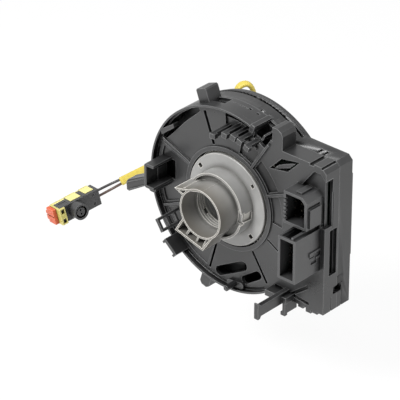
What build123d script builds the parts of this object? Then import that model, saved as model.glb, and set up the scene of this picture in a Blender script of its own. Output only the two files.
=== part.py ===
"""Steering clock spring: the rotary connector between a steering column and its wheel.

The Y axis is the turning axis. The column side faces -Y and the steering wheel is at +Y, with
Z up. The origin is on the axis, at the front face of the grey hub's flange.
"""
import os
from math import asin, atan2, cos, degrees, hypot, pi, radians, sin, tan

from build123d import *

# Stations along the turning axis
CAM_MOUTH = -23.8
DRUM_RIM = -10.4
DRUM_LEDGE = -8.2
FLANGE_T = 2.5
PLATE_FRONT = 2.4
PLATE_T = 2.2
RIM_RISE = 3.6
SEAM_Y = 14.8
CASE_REAR = 26.4
ROTOR_GAP = 0.6
ROTOR_T = 3.2
LEAD_Y = 36.0

# Radii about the turning axis
STATOR_R = 61.0
ROTOR_R = 60.0
FLANGE_R = 30.0
OPENING_GAP = 1.2
DRUM_R = 21.3
TUBE_INNER_R = 15.1
TUBE_WALL = 1.2
BORE_R = 13.2
SLEEVE_R = 26.5
SLEEVE_WALL = 2.0
REEL_R = 32.6
CHAMBER_R = 57.4

# Sensor and connector box beside the round housing
BOX_RIGHT = 75.0
BOX_LEFT = 30.0
BOX_TOP = 47.5
BOX_BOTTOM = -51.5
CORNER_X = 12.0
CORNER_Z = 11.0
REAR_CORNER = 3.0

# Walls and clearances
WALL = 2.0
SPIGOT_GAP = 0.15
BEARING_GAP = 0.10
SEAT_GAP = 0.05
PIN_D = 1.0

# Angle gears
MODULE = 1.0
RING_TEETH = 60
GEAR_FRONT = 5.2
GEAR_T = 4.0
GEAR_TEETH = (24, 22)
GEAR_ANGLE = (-12.0, 30.0)
AXLE_R = 2.0
MAGNET_R = 3.5
MAGNET_T = 1.4

# Circuit board
BOARD_FRONT = 10.0
BOARD_T = 1.6
FLOOR_FRONT = 12.4
FLOOR_T = 1.4

# Flat cable
CABLE_T = 0.35
CABLE_HALF_TURNS = 8
CABLE_EDGE = 0.5
SHEET_T = 0.3

# Sockets of the connector block: X low and high, Z low and high, mouth
UPPER_SOCKET = dict(x=(53.5, 71.0), z=(9.8, 31.2), mouth=-10.0)
LOWER_SOCKET = dict(x=(58.2, 71.4), z=(-21.6, 7.0), mouth=-20.0)
SOCKET_WALL = 1.6
SOCKET_FLOOR = 6.0
BASE_GAP = 0.2

# Air-bag leads
WIRE_D = 1.7
WIRE_PITCH = 2.3
PLUG_PITCH = 4.0
LEAD_SLEEVE_W = 5.6
LEAD_SLEEVE_T = 3.2
LEAD_SLEEVE_WALL = 0.35
PLUG_L = 31.0
PLUG_W = 11.5
PLUG_H = 9.0
PLUG_WALL = 1.2
BARREL_D = 10.6
BARREL_L = 7.0
LOCK_T = 2.4

# Values that follow from the driving dimensions
PLATE_REAR = PLATE_FRONT + PLATE_T
RIM_FRONT = PLATE_FRONT - RIM_RISE
OPENING_R = FLANGE_R + OPENING_GAP
LIP_R = OPENING_R + 2.8
DISC_FRONT = CASE_REAR + ROTOR_GAP
DISC_REAR = DISC_FRONT + ROTOR_T
FLOOR_REAR = FLOOR_FRONT + FLOOR_T
RING_PITCH_R = MODULE * RING_TEETH / 2
GEAR_REAR = GEAR_FRONT + GEAR_T
CABLE_FRONT = FLOOR_REAR + SHEET_T + CABLE_EDGE
CABLE_REAR = CASE_REAR - CABLE_EDGE


def across(y):
    """Drawing plane across the turning axis, seen from the column side: X right and Z up."""
    return Plane(origin=(0, y, 0), x_dir=(1, 0, 0), z_dir=(0, -1, 0))


def slab(sketch, front, back):
    """A sketch drawn in X and Z, made solid between two stations on the turning axis."""
    return extrude(across(back) * sketch, amount=back - front)


def ring(outer, inner, front, back):
    return slab(Circle(outer) - Circle(inner), front, back)


def block(x, y, z):
    """A box from its low and high values along each axis."""
    centre = ((x[0] + x[1]) / 2, (y[0] + y[1]) / 2, (z[0] + z[1]) / 2)
    return Pos(*centre) * Box(x[1] - x[0], y[1] - y[0], z[1] - z[0])


def polar(radius, angle):
    return radius * cos(radians(angle)), radius * sin(radians(angle))


def at_angle(shape, angle):
    """Turns a shape drawn along +X to an angle about the axis, counted from +X towards +Z."""
    return Rot(0, -angle, 0) * shape


def outline(points):
    return make_face(Polyline(*points, close=True))


def band(inner, outer, start, end):
    """Part of a ring between two angles."""
    reach = 1.5 * outer / cos(radians((end - start) / 4))
    corners = [polar(reach, start + (end - start) * k / 4) for k in range(5)]
    return (Circle(outer) - Circle(inner)) & outline([(0, 0)] + corners)


def capsule(start, end, width):
    """A slot with round ends between two points in X and Z."""
    run = hypot(end[0] - start[0], end[1] - start[1])
    turn = degrees(atan2(end[1] - start[1], end[0] - start[0]))
    middle = Location(((start[0] + end[0]) / 2, (start[1] + end[1]) / 2, 0), (0, 0, turn))
    return middle * SlotCenterToCenter(run, width)


def gear_outline(teeth, gap_angle=None):
    """A spur gear's outline with straight-flanked teeth, turned so that a gap faces an angle."""
    pitch_r = MODULE * teeth / 2
    step = 360 / teeth
    first = 0 if gap_angle is None else gap_angle + step / 2
    points = []
    for tooth in range(teeth):
        middle = first + tooth * step
        for radius, part in ((pitch_r - 1.2 * MODULE, -0.34), (pitch_r + 0.85 * MODULE, -0.12),
                             (pitch_r + 0.85 * MODULE, 0.12), (pitch_r - 1.2 * MODULE, 0.34)):
            points.append(polar(radius, middle + part * step))
    return outline(points)


def box_outline(grow=0.0, corner=(CORNER_X, CORNER_Z)):
    """The box beside the round housing, with its chamfered upper corner, grown or shrunk."""
    right, top, bottom = BOX_RIGHT + grow, BOX_TOP + grow, BOX_BOTTOM - grow
    return outline([(BOX_LEFT, bottom), (right, bottom), (right, BOX_TOP - corner[1] + grow / 2),
                    (BOX_RIGHT - corner[0] + grow / 2, top), (BOX_LEFT, top)])


def stator_outline(grow=0.0, corner=(CORNER_X, CORNER_Z)):
    """The round housing and its box as one outline."""
    return Circle(STATOR_R + grow) + box_outline(grow, corner)


def gear_centre(index):
    """Middle of an angle gear, which meshes with the ring gear at its own angle."""
    distance = RING_PITCH_R + MODULE * GEAR_TEETH[index] / 2
    return polar(distance, GEAR_ANGLE[index])


# Front cover: openings, ribs, lugs and latches

RIB_ANGLES = (24.0, 57.0, 158.0, 204.5)
SLIT_ANGLES = {110.7: 1.8, 254.0: 1.1, 303.0: 1.8, 331.5: 1.3}
RIB_INNER_R = LIP_R - 0.6
RIB_OUTER_R = 57.5
RIB_W = 1.5
RIB_RISE = 1.3
SOCKET_CLEAR = 0.3
FIN_POSITIONS = ((91.5, 49.8, 15.0), (82.0, 53.4, 14.0), (76.0, 54.3, 12.5), (71.3, 53.8, 11.5),
                 (65.5, 52.6, 10.0))
FIN_W = 2.6
FIN_H = 3.4
POST_ANGLE = 110.7
POST_TIP_R = 69.5
POST_W = 8.3
SHOULDER_R = 66.5
SHOULDER_X = 40.3
LADDER_ANGLE = 211.0
LADDER_R = 47.5
LADDER_W = 8.2
LADDER_T = 2.0
LADDER_REACH = 16.5
FLAP_ANGLE = 228.5
FLAP_W = 11.6
FLAP_REACH = 9.5
TOOTH_ANGLE = 254.7
TOOTH_TIP_R = 73.0
TOWER_X = (-54.5, -46.0)
TOWER_Z = (-8.0, 10.5)
TOWER_MOUTH = -15.5
LATCH_X = 47.0
LATCH_Z = (-49.0, -42.0)
LATCH_MOUTH = -26.0


def cover_plate():
    """The face plate with its raised rim, its skirt and the lip round the hub."""
    plate = slab(stator_outline() - Circle(OPENING_R), PLATE_FRONT, PLATE_REAR)
    skirt = slab(stator_outline() - stator_outline(-WALL), PLATE_REAR, SEAM_Y)
    rim = slab(band(STATOR_R - WALL, STATOR_R, 38, 309), RIM_FRONT, PLATE_FRONT)
    step = slab(band(STATOR_R - 2 * WALL, STATOR_R - WALL, 112, 300), PLATE_FRONT - 1.6, PLATE_FRONT)
    lip = ring(LIP_R, OPENING_R, PLATE_FRONT - 1.1, PLATE_FRONT)
    return plate + skirt + rim + step + lip


def cover_ribs():
    """Radial stiffening ribs on the face."""
    low = PLATE_FRONT - RIB_RISE
    rib = block((RIB_INNER_R, RIB_OUTER_R), (low, PLATE_FRONT), (-RIB_W / 2, RIB_W / 2))
    return [at_angle(rib, angle) for angle in RIB_ANGLES]


def cover_cuts():
    """Radial slits, sunken panels, slots and windows in the face."""
    through = (PLATE_FRONT - 0.2, PLATE_REAR + 0.2)
    cuts = []
    for angle, width in SLIT_ANGLES.items():
        slit = block((LIP_R + 0.8, STATOR_R - 2 * WALL - 0.6), through, (-width / 2, width / 2))
        cuts.append(at_angle(slit, angle))
    sunk = PLATE_FRONT + 0.9
    cuts.append(slab(band(LIP_R + 0.8, 42.0, -6.0, 21.5), PLATE_FRONT - 0.2, sunk))
    cuts.append(slab(band(LIP_R + 0.8, 41.0, 26.5, 54.5), PLATE_FRONT - 0.2, sunk))
    cuts.append(slab(band(LIP_R + 0.8, 55.5, 160.5, 202.0), PLATE_FRONT - 0.2, sunk))
    cuts.append(slab(band(LIP_R + 0.8, 55.5, 207.0, 251.5), PLATE_FRONT - 0.2, sunk - 0.5))
    cuts.append(slab(band(47.5, 57.2, 63.0, 93.5), *through))
    cuts.append(slab(band(51.0, 57.0, 48.0, 58.5), *through))
    cuts.append(slab(capsule((-8.0, -52.5), (11.0, -43.0), 6.0), *through))
    cuts.append(slab(capsule((14.0, -52.0), (27.0, -41.5), 5.0), *through))
    tongue = outline([(33.5, 31.0), (44.0, 33.2), (46.5, 38.5), (43.0, 40.6), (33.0, 35.4)])
    stem = outline([(32.0, 30.0), (35.5, 30.0), (35.5, 37.0), (32.0, 37.0)])
    cuts.append(slab(tongue - offset(tongue, amount=-1.3) - stem, *through))
    for socket in (UPPER_SOCKET, LOWER_SOCKET):
        x = (socket["x"][0] - SOCKET_CLEAR, socket["x"][1] + SOCKET_CLEAR)
        z = (socket["z"][0] - SOCKET_CLEAR, socket["z"][1] + SOCKET_CLEAR)
        cuts.append(block(x, through, z))
    return cuts


def side_cuts():
    """Openings in the box's right wall: the tall slot, the latch window and seam grooves."""
    wall = (BOX_RIGHT - WALL - 0.2, BOX_RIGHT + 0.2)
    tall = block(wall, (6.2, 10.6), (-27.0, 7.5))
    window = block(wall, (8.0, SEAM_Y + 0.2), (-37.0, -29.0))
    corner = block((BOX_RIGHT - 0.5, BOX_RIGHT + 0.2), (9.2, 9.8), (BOX_BOTTOM - 0.2, -38.5))
    front = PLATE_FRONT - 0.2
    grooves = [block((x, x + 2.2), (front, SEAM_Y + 0.2), (BOX_TOP - 1.3, BOX_TOP + 0.2))
               for x in (56.5, 61.0)]
    cross = [slab(capsule(*ends, 2.2), front, PLATE_FRONT + 1.2)
             for ends in (((43.0, -38.5), (64.0, -49.0)), ((50.5, -47.5), (62.0, -33.5)))]
    return [tall, window, corner] + grooves + cross


def fins():
    """Row of axial guide fins that stand out through the window near the rim."""
    made = []
    for angle, radius, length in FIN_POSITIONS:
        fin = block((radius - FIN_H, radius), (PLATE_FRONT - length, PLATE_REAR), (-FIN_W / 2, FIN_W / 2))
        tip = block((radius - FIN_H, radius), (PLATE_FRONT - length, PLATE_FRONT - length + 3.2), (-FIN_W, -FIN_W / 2))
        made.append(at_angle(fin + tip, angle))
    bar = slab(band(46.6, 48.4, 62.5, 95.0), PLATE_FRONT - 1.2, PLATE_REAR)
    bridge = slab(band(48.0, 54.2, 63.0, 93.8), PLATE_REAR - 0.8, PLATE_REAR)
    return made + [bar, bridge]


def post():
    """Radial locating post at the top, with a triangular pocket at its foot."""
    body = block((56.0, POST_TIP_R), (4.0, SEAM_Y), (-POST_W / 2, POST_W / 2))
    body = chamfer(body.edges().filter_by(Axis.Y).group_by(Axis.X)[-1], 0.8)
    foot = block((STATOR_R - 1.0, STATOR_R + 2.2), (5.0, SEAM_Y - 0.6), (-POST_W / 2 - 4.5, -POST_W / 2))
    pocket = slab(outline([(STATOR_R - 1.5, -POST_W / 2), (STATOR_R + 2.4, -POST_W / 2),
                           (STATOR_R + 2.4, -POST_W / 2 - 4.6)]), 6.2, SEAM_Y - 1.8)
    return at_angle(body + foot - pocket, POST_ANGLE)


def shoulder_lug():
    """Raised arc lug where the round housing meets the box, and the three-cornered pocket in it."""
    lug = slab(band(56.0, SHOULDER_R, 44.0, 60.0), PLATE_FRONT, SEAM_Y)
    lug = lug & block((0, SHOULDER_X), (0, SEAM_Y), (40.0, 80.0))
    pocket = slab(outline([(33.6, 49.0), (38.6, 46.6), (38.6, 52.0)]), PLATE_FRONT - 0.2, 6.0)
    return lug - pocket


def ladder_arm():
    """Snap arm with three windows that reaches towards the column."""
    tip = PLATE_FRONT - LADDER_REACH
    arm = block((LADDER_R - LADDER_T / 2, LADDER_R + LADDER_T / 2), (tip, PLATE_REAR),
                (-LADDER_W / 2, LADDER_W / 2))
    pitch = (LADDER_REACH - 1.2) / 3
    for step in range(3):
        start = tip + 1.6 + step * pitch
        arm -= block((LADDER_R - LADDER_T, LADDER_R + LADDER_T), (start, start + pitch - 1.7),
                     (-LADDER_W / 2 + 1.6, LADDER_W / 2 - 1.6))
    barb = block((LADDER_R + LADDER_T / 2, LADDER_R + LADDER_T / 2 + 0.9), (tip, tip + 1.6),
                 (-LADDER_W / 2 + 1.6, LADDER_W / 2 - 1.6))
    return at_angle(arm + barb, LADDER_ANGLE)


def rim_flap():
    """Flat guide flap that continues the rim towards the column, with lips at its corners."""
    front = PLATE_FRONT - FLAP_REACH
    half = FLAP_W / 2
    flap = block((57.6, 59.6), (front, PLATE_REAR), (-half, half))
    lips = [block((57.6, 61.2), (front, front + 1.6), (side - 0.8, side + 0.8))
            for side in (-half + 0.8, half - 0.8)]
    return at_angle(flap + lips, FLAP_ANGLE)


def rim_tooth():
    """Radial stop tooth at the bottom, with a chamfered end."""
    tooth = block((57.0, TOOTH_TIP_R), (3.0, 11.0), (-3.0, 3.0))
    end = tooth.edges().filter_by(Axis.Y).group_by(Axis.X)[-1]
    return at_angle(chamfer(end, 1.8), TOOTH_ANGLE)


def bottom_peg():
    """Axial peg with a rounded end between the two bottom slots."""
    centre = (11.0, -53.5)
    peg = slab(Pos(*centre) * Circle(1.9), PLATE_FRONT - 11.0, PLATE_REAR)
    peg = fillet(peg.edges().group_by(Axis.Y)[0], 1.2)
    foot = slab(capsule((6.0, -55.6), (15.5, -52.4), 4.6), PLATE_FRONT - 2.0, PLATE_FRONT)
    return peg + foot


def left_tower():
    """Hollow guide tower on the left, open towards the column, with a curved tongue below."""
    shell = block(TOWER_X, (TOWER_MOUTH, PLATE_REAR), TOWER_Z)
    shell = chamfer(shell.edges().filter_by(Axis.Y).group_by(Axis.X)[0], 1.5)
    inner = block((TOWER_X[0] + 1.8, TOWER_X[1] - 1.8), (TOWER_MOUTH - 1, PLATE_FRONT + 0.4),
                  (TOWER_Z[0] + 1.8, TOWER_Z[1] - 1.8))
    slot = block((TOWER_X[1] - 3.0, TOWER_X[1] + 1.0), (TOWER_MOUTH - 1, PLATE_FRONT - 4.0), (0.5, 5.5))
    guide = outline([(TOWER_X[0] + 1, 3.5), (-72.0, -7.5), (-74.5, -11.5), (-72.5, -15.2), (TOWER_X[0] + 1, -6.0)])
    groove = outline([(TOWER_X[0], 5.5), (-73.0, -5.5), (-71.0, -11.5), (TOWER_X[0], -3.0)])
    tongue = slab(guide, -13.5, -6.0) - slab(groove, -11.9, -7.6)
    boss = block((-60.0, -50.0), (-9.0, PLATE_REAR), (TOWER_Z[0] - 4.0, TOWER_Z[0] + 1.0))
    boss = fillet(boss.edges().filter_by(Axis.Y).group_by(Axis.Z)[0], 1.8)
    return shell - inner - slot + tongue + boss


def corner_latch():
    """Latch arm at the lower right with a flared end, and its hooked guide block."""
    half = 1.6
    arm = block((LATCH_X - half, LATCH_X + half), (LATCH_MOUTH, PLATE_REAR), LATCH_Z)
    flare = slab(outline([(LATCH_X - half, LATCH_Z[0] - 1.6), (LATCH_X + half, LATCH_Z[0] - 1.6),
                          (LATCH_X + half, LATCH_Z[1] + 1.8), (LATCH_X - half, LATCH_Z[1] + 1.8)]),
                 LATCH_MOUTH, LATCH_MOUTH + 1.6)
    guide = block((38.0, 53.5), (-5.0, PLATE_REAR), (-53.5, -49.5))
    plate = block((51.5, 53.5), (-5.0, 6.0), (-60.0, -49.5))
    hook = block((50.0, 53.5), (-5.0, -2.6), (-61.6, -59.4))
    return arm + flare + guide + plate + hook


def underside_notches():
    """Small teeth along the bottom edge of the box."""
    return [block((x, x + 4.0), (PLATE_FRONT, 9.0), (BOX_BOTTOM - rise, BOX_BOTTOM + 1.0))
            for x, rise in ((55.5, 1.6), (61.5, 2.6), (66.5, 1.4))]


def front_cover():
    body = cover_plate()
    for cut in cover_cuts() + side_cuts():
        body -= cut
    body += cover_ribs() + fins()
    body += [post(), shoulder_lug(), ladder_arm(), rim_flap(), rim_tooth(), bottom_peg()]
    body += [left_tower(), corner_latch()] + underside_notches()
    body += [slab(Pos(*gear_centre(i)) * Circle(AXLE_R), PLATE_REAR, GEAR_FRONT + 2.0) for i in range(2)]
    inside = slab(stator_outline(-WALL), PLATE_REAR, SEAM_Y + 1)
    axles = [slab(Pos(*gear_centre(i)) * Circle(AXLE_R), PLATE_REAR - 1, SEAM_Y + 2) for i in range(2)]
    for axle in axles:
        inside -= axle
    return body - inside


# Rear case, its lid and what lies inside it

LID_X = (63.2, 74.4)
LID_Z = (-20.0, 35.0)
LID_T = 2.0
BOARD_POSTS = ((36.5, -27.0), (36.5, 36.5), (68.5, -40.0), (64.0, 34.5))
TERMINAL_Z = (0.0, 6.5)


def rear_case():
    """Cup behind the front cover: floor, bearing collar, cable chamber and the box's walls."""
    inset = WALL + SPIGOT_GAP
    corner = (REAR_CORNER, REAR_CORNER)
    floor = slab(stator_outline(-inset) - Circle(SLEEVE_R + BEARING_GAP), FLOOR_FRONT, FLOOR_REAR)
    collar = ring(SLEEVE_R + 3.0, SLEEVE_R + BEARING_GAP, GEAR_REAR + 0.4, FLOOR_FRONT)
    spigot = slab(stator_outline(-inset) - stator_outline(-inset - WALL), FLOOR_REAR, SEAM_Y + 1.5)
    wall = slab(stator_outline(0, corner) - stator_outline(-inset - 0.5), SEAM_Y, CASE_REAR)
    chamber = ring(CHAMBER_R + 1.8, CHAMBER_R, SEAM_Y, CASE_REAR)
    back = slab(box_outline(-1.0) - Circle(CHAMBER_R + 0.5), CASE_REAR - 1.5, CASE_REAR)
    body = floor + collar + spigot + wall + chamber + back
    body -= ring(CHAMBER_R, SLEEVE_R + 1, FLOOR_REAR, CASE_REAR + 1)
    for x, z in BOARD_POSTS:
        body += slab(Pos(x, z) * Circle(2.4), BOARD_FRONT + BOARD_T, FLOOR_FRONT)
    terminal = block((CHAMBER_R - 3.0, CHAMBER_R + 4.0), (CABLE_FRONT - 0.6, CASE_REAR + 0.5),
                     (TERMINAL_Z[0] - 0.3, TERMINAL_Z[1] + 0.3))
    seam = [block((BOX_RIGHT - 0.5, BOX_RIGHT + 0.2), (y, y + 0.6), (BOX_BOTTOM - 0.2, -38.5))
            for y in (18.6,)]
    rib_cut = block((BOX_RIGHT - 0.6, BOX_RIGHT + 0.2), (SEAM_Y - 0.2, 20.0), (-36.0, -29.5))
    for cut in [terminal, rib_cut] + seam:
        body -= cut
    grooves = [block((x, x + 2.2), (SEAM_Y - 0.2, 20.5), (BOX_TOP - 1.3, BOX_TOP + 0.2)) for x in (56.5, 61.0)]
    dimples = [at_angle(block((STATOR_R - 0.8, STATOR_R + 0.5), (SEAM_Y - 0.1, SEAM_Y + 2.0), (-1.2, 1.2)), a)
               for a in (76.5, 70.5)]
    for cut in grooves + dimples:
        body -= cut
    return body


def rear_lid():
    """Flat lid on the back of the box, with a shallow stepped edge."""
    lid = block(LID_X, (CASE_REAR, CASE_REAR + LID_T), LID_Z)
    return chamfer(lid.faces().sort_by(Axis.Y)[-1].edges(), 0.7)


def board_outline():
    """The sensor board: round the hub's collar and inside the box's walls."""
    reach = WALL + SPIGOT_GAP + WALL + 0.8
    region = stator_outline(-reach) & outline([(33.0, -46.0), (72.0, -46.0), (72.0, 42.0), (33.0, 42.0)])
    return region - Circle(SLEEVE_R + 5.5)


def circuit_board():
    board = slab(board_outline(), BOARD_FRONT, BOARD_FRONT + BOARD_T)
    for x, z in BOARD_POSTS[:2]:
        board -= slab(Pos(x, z) * Circle(0.9), BOARD_FRONT - 1, BOARD_FRONT + BOARD_T + 1)
    return board


def sensor_chips():
    """One angle sensor facing each magnet, with the signal processor beside them."""
    chips = []
    for index in range(2):
        x, z = gear_centre(index)
        chips.append(block((x - 2.2, x + 2.2), (BOARD_FRONT - 0.5, BOARD_FRONT), (z - 2.0, z + 2.0)))
    chips.append(block((50.0, 57.0), (BOARD_FRONT - 1.3, BOARD_FRONT), (-37.0, -30.0)))
    return Compound(children=chips)


def slide_sheet():
    """Slippery sheet between the cable and the floor."""
    return ring(CHAMBER_R - 0.3, REEL_R + 0.6, FLOOR_REAR, FLOOR_REAR + SHEET_T)


def flat_cable():
    """The wound flat cable: half turns of growing radius, from the reel out to the case."""
    first = REEL_R + 1.4
    last = CHAMBER_R - 1.4
    growth = (last - first) / CABLE_HALF_TURNS

    def edge(side):
        arcs = []
        middle = 0.0
        for turn in range(CABLE_HALF_TURNS):
            radius = first + growth * (turn + 0.5)
            heading = 1 if turn % 2 == 0 else -1
            middle = heading * growth * -0.5 if turn else -0.5 * growth
            arcs.append(CenterArc((middle, 0), radius + side * CABLE_T / 2, 180 * (turn % 2), 180))
        return arcs

    outer, inner = edge(1), edge(-1)
    ends = [Line(outer[0] @ 0, inner[0] @ 0), Line(outer[-1] @ 1, inner[-1] @ 1)]
    face = make_face(Curve() + outer + inner + ends)
    return slab(face, CABLE_FRONT, CABLE_REAR)


def outer_terminal():
    """Connector at the cable's outer end, which leads to the box."""
    end = CHAMBER_R - 1.4
    body = block((end - 1.6, CHAMBER_R + 3.6), (CABLE_FRONT, CASE_REAR - 0.3), TERMINAL_Z)
    return chamfer(body.edges().filter_by(Axis.Y).group_by(Axis.X)[0], 0.6)


def inner_terminal():
    """Connector at the cable's inner end, carried on the reel."""
    outer = REEL_R + 2.2
    foot = slab(band(REEL_R, outer, -11.0, 0.0), CABLE_FRONT, CABLE_REAR)
    return foot


# Connector block in the box

BASE_FRONT = PLATE_REAR + BASE_GAP
BASE_REAR = BASE_FRONT + 2.2


def socket_tower(socket, cut_corner):
    """One open connector tower with its cavity."""
    x, z, mouth = socket["x"], socket["z"], socket["mouth"]
    shell = block(x, (mouth, BASE_REAR), z)
    if cut_corner:
        edges = shell.edges().filter_by(Axis.Y).sort_by(lambda e: -(e.center().X + e.center().Z))
        shell = chamfer(edges[0], 3.2)
    cavity = block((x[0] + SOCKET_WALL, x[1] - SOCKET_WALL), (mouth - 1, BASE_FRONT - 0.6),
                   (z[0] + SOCKET_WALL, z[1] - SOCKET_WALL))
    if cut_corner:
        edges = cavity.edges().filter_by(Axis.Y).sort_by(lambda e: -(e.center().X + e.center().Z))
        cavity = chamfer(edges[0], 2.6)
    return shell - cavity


def connector_block():
    """Both plug sockets on one base that sits behind the front cover."""
    upper = socket_tower(UPPER_SOCKET, True)
    ux, uz = UPPER_SOCKET["x"], UPPER_SOCKET["z"]
    ridge = block((ux[0] + 7.5, ux[0] + 11.5), (UPPER_SOCKET["mouth"] + 2.5, PLATE_FRONT - 0.4), (uz[1] - 0.2, uz[1] + 1.3))
    step = block((ux[1] - 0.2, ux[1] + 1.2), (UPPER_SOCKET["mouth"] + 1.2, PLATE_FRONT - 0.4), (uz[0] + 0.6, uz[1] - 7.2))
    notches = [block((ux[0] - 0.1, ux[0] + SOCKET_WALL + 0.2), (UPPER_SOCKET["mouth"] - 1, UPPER_SOCKET["mouth"] + 1.2),
                     (uz[0] + 2.6 + 2.6 * k, uz[0] + 3.9 + 2.6 * k)) for k in range(6)]
    for notch in notches:
        upper -= notch
    lower = socket_tower(LOWER_SOCKET, False)
    lx, lz = LOWER_SOCKET["x"], LOWER_SOCKET["z"]
    nose = slab(outline([(lx[1] - 0.2, -8.6), (lx[1] + 1.5, -7.2), (lx[1] + 1.5, -5.4), (lx[1] - 0.2, -5.4)]), -12.0, -3.0)
    rail = block((lx[1] - 0.2, lx[1] + 0.9), (-15.0, PLATE_FRONT - 0.4), (-3.4, -2.0))
    base = block((52.4, 72.6), (BASE_FRONT, BASE_REAR), (8.0, 33.0))
    base += block((55.8, 72.6), (BASE_FRONT, BASE_REAR), (-26.0, 8.0))
    web = block((61.0, 70.4), (-8.5, PLATE_FRONT - 0.4), (lz[1] - 0.2, uz[0] + 0.2))
    return upper + ridge + step + lower + nose + rail + base + web


def pin_rows(socket, columns, rows):
    """Straight contact pins from the board into a socket."""
    x0 = socket["x"][0] + SOCKET_WALL
    x1 = socket["x"][1] - SOCKET_WALL
    z0 = socket["z"][0] + SOCKET_WALL
    z1 = socket["z"][1] - SOCKET_WALL
    pins = []
    for column in range(columns):
        for row in range(rows):
            x = x0 + (x1 - x0) * (column + 0.5) / columns
            z = z0 + (z1 - z0) * (row + 0.5) / rows
            half = PIN_D / 2
            pins.append(block((x - half, x + half), (socket["mouth"] + SOCKET_FLOOR, BOARD_FRONT), (z - half, z + half)))
    return pins


def drill_for(body, pins):
    for pin in pins:
        box = pin.bounding_box()
        grow = SEAT_GAP
        body -= block((box.min.X - grow, box.max.X + grow), (BASE_FRONT - 2, BASE_REAR + 1),
                      (box.min.Z - grow, box.max.Z + grow))
    return body


# Rotor

def cancel_cam():
    """Grey hub: flange, drum, mouth tube with two cancelling lobes, and the inner sleeve."""
    tube_r = TUBE_INNER_R + TUBE_WALL
    sleeve_inner = SLEEVE_R - SLEEVE_WALL
    profile = [(TUBE_INNER_R, CAM_MOUTH), (tube_r, CAM_MOUTH), (tube_r, DRUM_LEDGE), (DRUM_R - 1.4, DRUM_LEDGE),
               (DRUM_R - 1.4, DRUM_RIM), (DRUM_R, DRUM_RIM), (DRUM_R, 0), (FLANGE_R - 0.4, 0),
               (FLANGE_R, 0.4), (FLANGE_R, FLANGE_T),
               (SLEEVE_R + 1.7, FLANGE_T), (SLEEVE_R + 1.7, GEAR_FRONT), (SLEEVE_R, GEAR_FRONT),
               (SLEEVE_R, DISC_FRONT), (sleeve_inner, DISC_FRONT), (sleeve_inner, FLANGE_T),
               (DRUM_R - 1.8, FLANGE_T), (DRUM_R - 1.8, DRUM_LEDGE + 1.6), (TUBE_INNER_R + 0.3, DRUM_LEDGE + 1.6),
               (TUBE_INNER_R + 0.3, DRUM_LEDGE + 3.2), (BORE_R, DRUM_LEDGE + 3.2), (BORE_R, DRUM_LEDGE - 3.3),
               (TUBE_INNER_R, DRUM_LEDGE - 3.3)]
    body = revolve(outline(profile), Axis.Y)
    body += cam_lobes()
    body -= slab(Circle(TUBE_INNER_R), CAM_MOUTH - 1, DRUM_LEDGE - 3.3)
    for angle, size in ((143.0, 2.2), (39.5, 2.0), (-42.5, 2.2), (224.0, 2.2)):
        hole = block((26.5 - size / 2, 26.5 + size / 2), (-1, FLANGE_T + 0.01), (-size / 2, size / 2))
        hole = hole - block((20, 40), (FLANGE_T - 0.8, FLANGE_T + 1), (-5, 5))
        body -= at_angle(hole, angle)
    notch = block((16.0, DRUM_R + 1), (DRUM_RIM - 1, DRUM_LEDGE), (-3.0, 3.0))
    deep = block((DRUM_R - 3.2, DRUM_R + 1), (DRUM_RIM - 1, -3.0), (-2.0, 2.0))
    body -= at_angle(notch, -8.0)
    body -= at_angle(deep, -8.0)
    for k in range(24):
        spline = block((BORE_R - 1, BORE_R + 0.7), (DRUM_LEDGE - 3.4, DRUM_LEDGE + 3.3), (-0.7, 0.7))
        body -= at_angle(spline, k * 15.0)
    body -= at_angle(block((BORE_R - 1, BORE_R + 1.6), (DRUM_LEDGE - 2.2, DRUM_LEDGE + 1.0), (-1.9, 1.9)), 7.5)
    return body


def cam_lobes():
    """Thin-walled lobes that push the turn signal stalk back: one above, one below the tube."""
    tube_r = TUBE_INNER_R + TUBE_WALL
    upper = outline([(1.6, tube_r - 0.1), (-20.6, 10.6), (-13.6, 7.4), (-4.0, 4.0)])
    upper_hole = outline([(0.6, tube_r - 1.3), (-17.2, 10.2), (-12.4, 8.4), (-4.0, 4.0)])
    lower = outline([(-20.2, -18.3), (2.2, -24.4), (9.6, -13.4), (0.0, -4.0), (-14.2, -8.2)])
    lower_hole = outline([(-18.2, -17.4), (1.6, -22.8), (8.0, -13.0), (0.0, -4.0), (-13.2, -9.4)])
    ribs = [outline([(-2.2, -15.0), (-1.1, -15.0), (-4.3, -22.6), (-5.5, -22.3)]),
            outline([(4.2, -14.6), (5.4, -14.2), (1.6, -23.0), (0.3, -23.2)]),
            outline([(-9.0, -12.6), (-8.0, -13.6), (-12.3, -20.4), (-13.5, -20.0)]),
            outline([(-12.3, 9.2), (-11.3, 10.2), (-13.3, 12.8), (-14.5, 12.4)])]
    lobes = []
    for solid, hole in ((upper, upper_hole), (lower, lower_hole)):
        lobes.append(slab(solid - hole - Circle(TUBE_INNER_R), CAM_MOUTH, DRUM_LEDGE))
    for rib in ribs:
        lobes.append(slab(rib - Circle(TUBE_INNER_R), CAM_MOUTH + 1.5, DRUM_LEDGE))
    return lobes


def ring_gear():
    """Ring gear on the hub's sleeve, which drives both angle gears."""
    return slab(gear_outline(RING_TEETH) - Circle(SLEEVE_R + SEAT_GAP), GEAR_FRONT, GEAR_REAR)


def angle_gear(index):
    """Small gear of the steering-angle sensor, on an axle of the front cover."""
    centre = gear_centre(index)
    wheel = Pos(*centre) * gear_outline(GEAR_TEETH[index], GEAR_ANGLE[index] + 180)
    body = slab(wheel, GEAR_FRONT, GEAR_REAR)
    body -= slab(Pos(*centre) * Circle(AXLE_R + SEAT_GAP), GEAR_FRONT - 1, GEAR_FRONT + 2.1)
    body -= slab(Pos(*centre) * Circle(MAGNET_R), GEAR_REAR - MAGNET_T, GEAR_REAR + 1)
    return body


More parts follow.
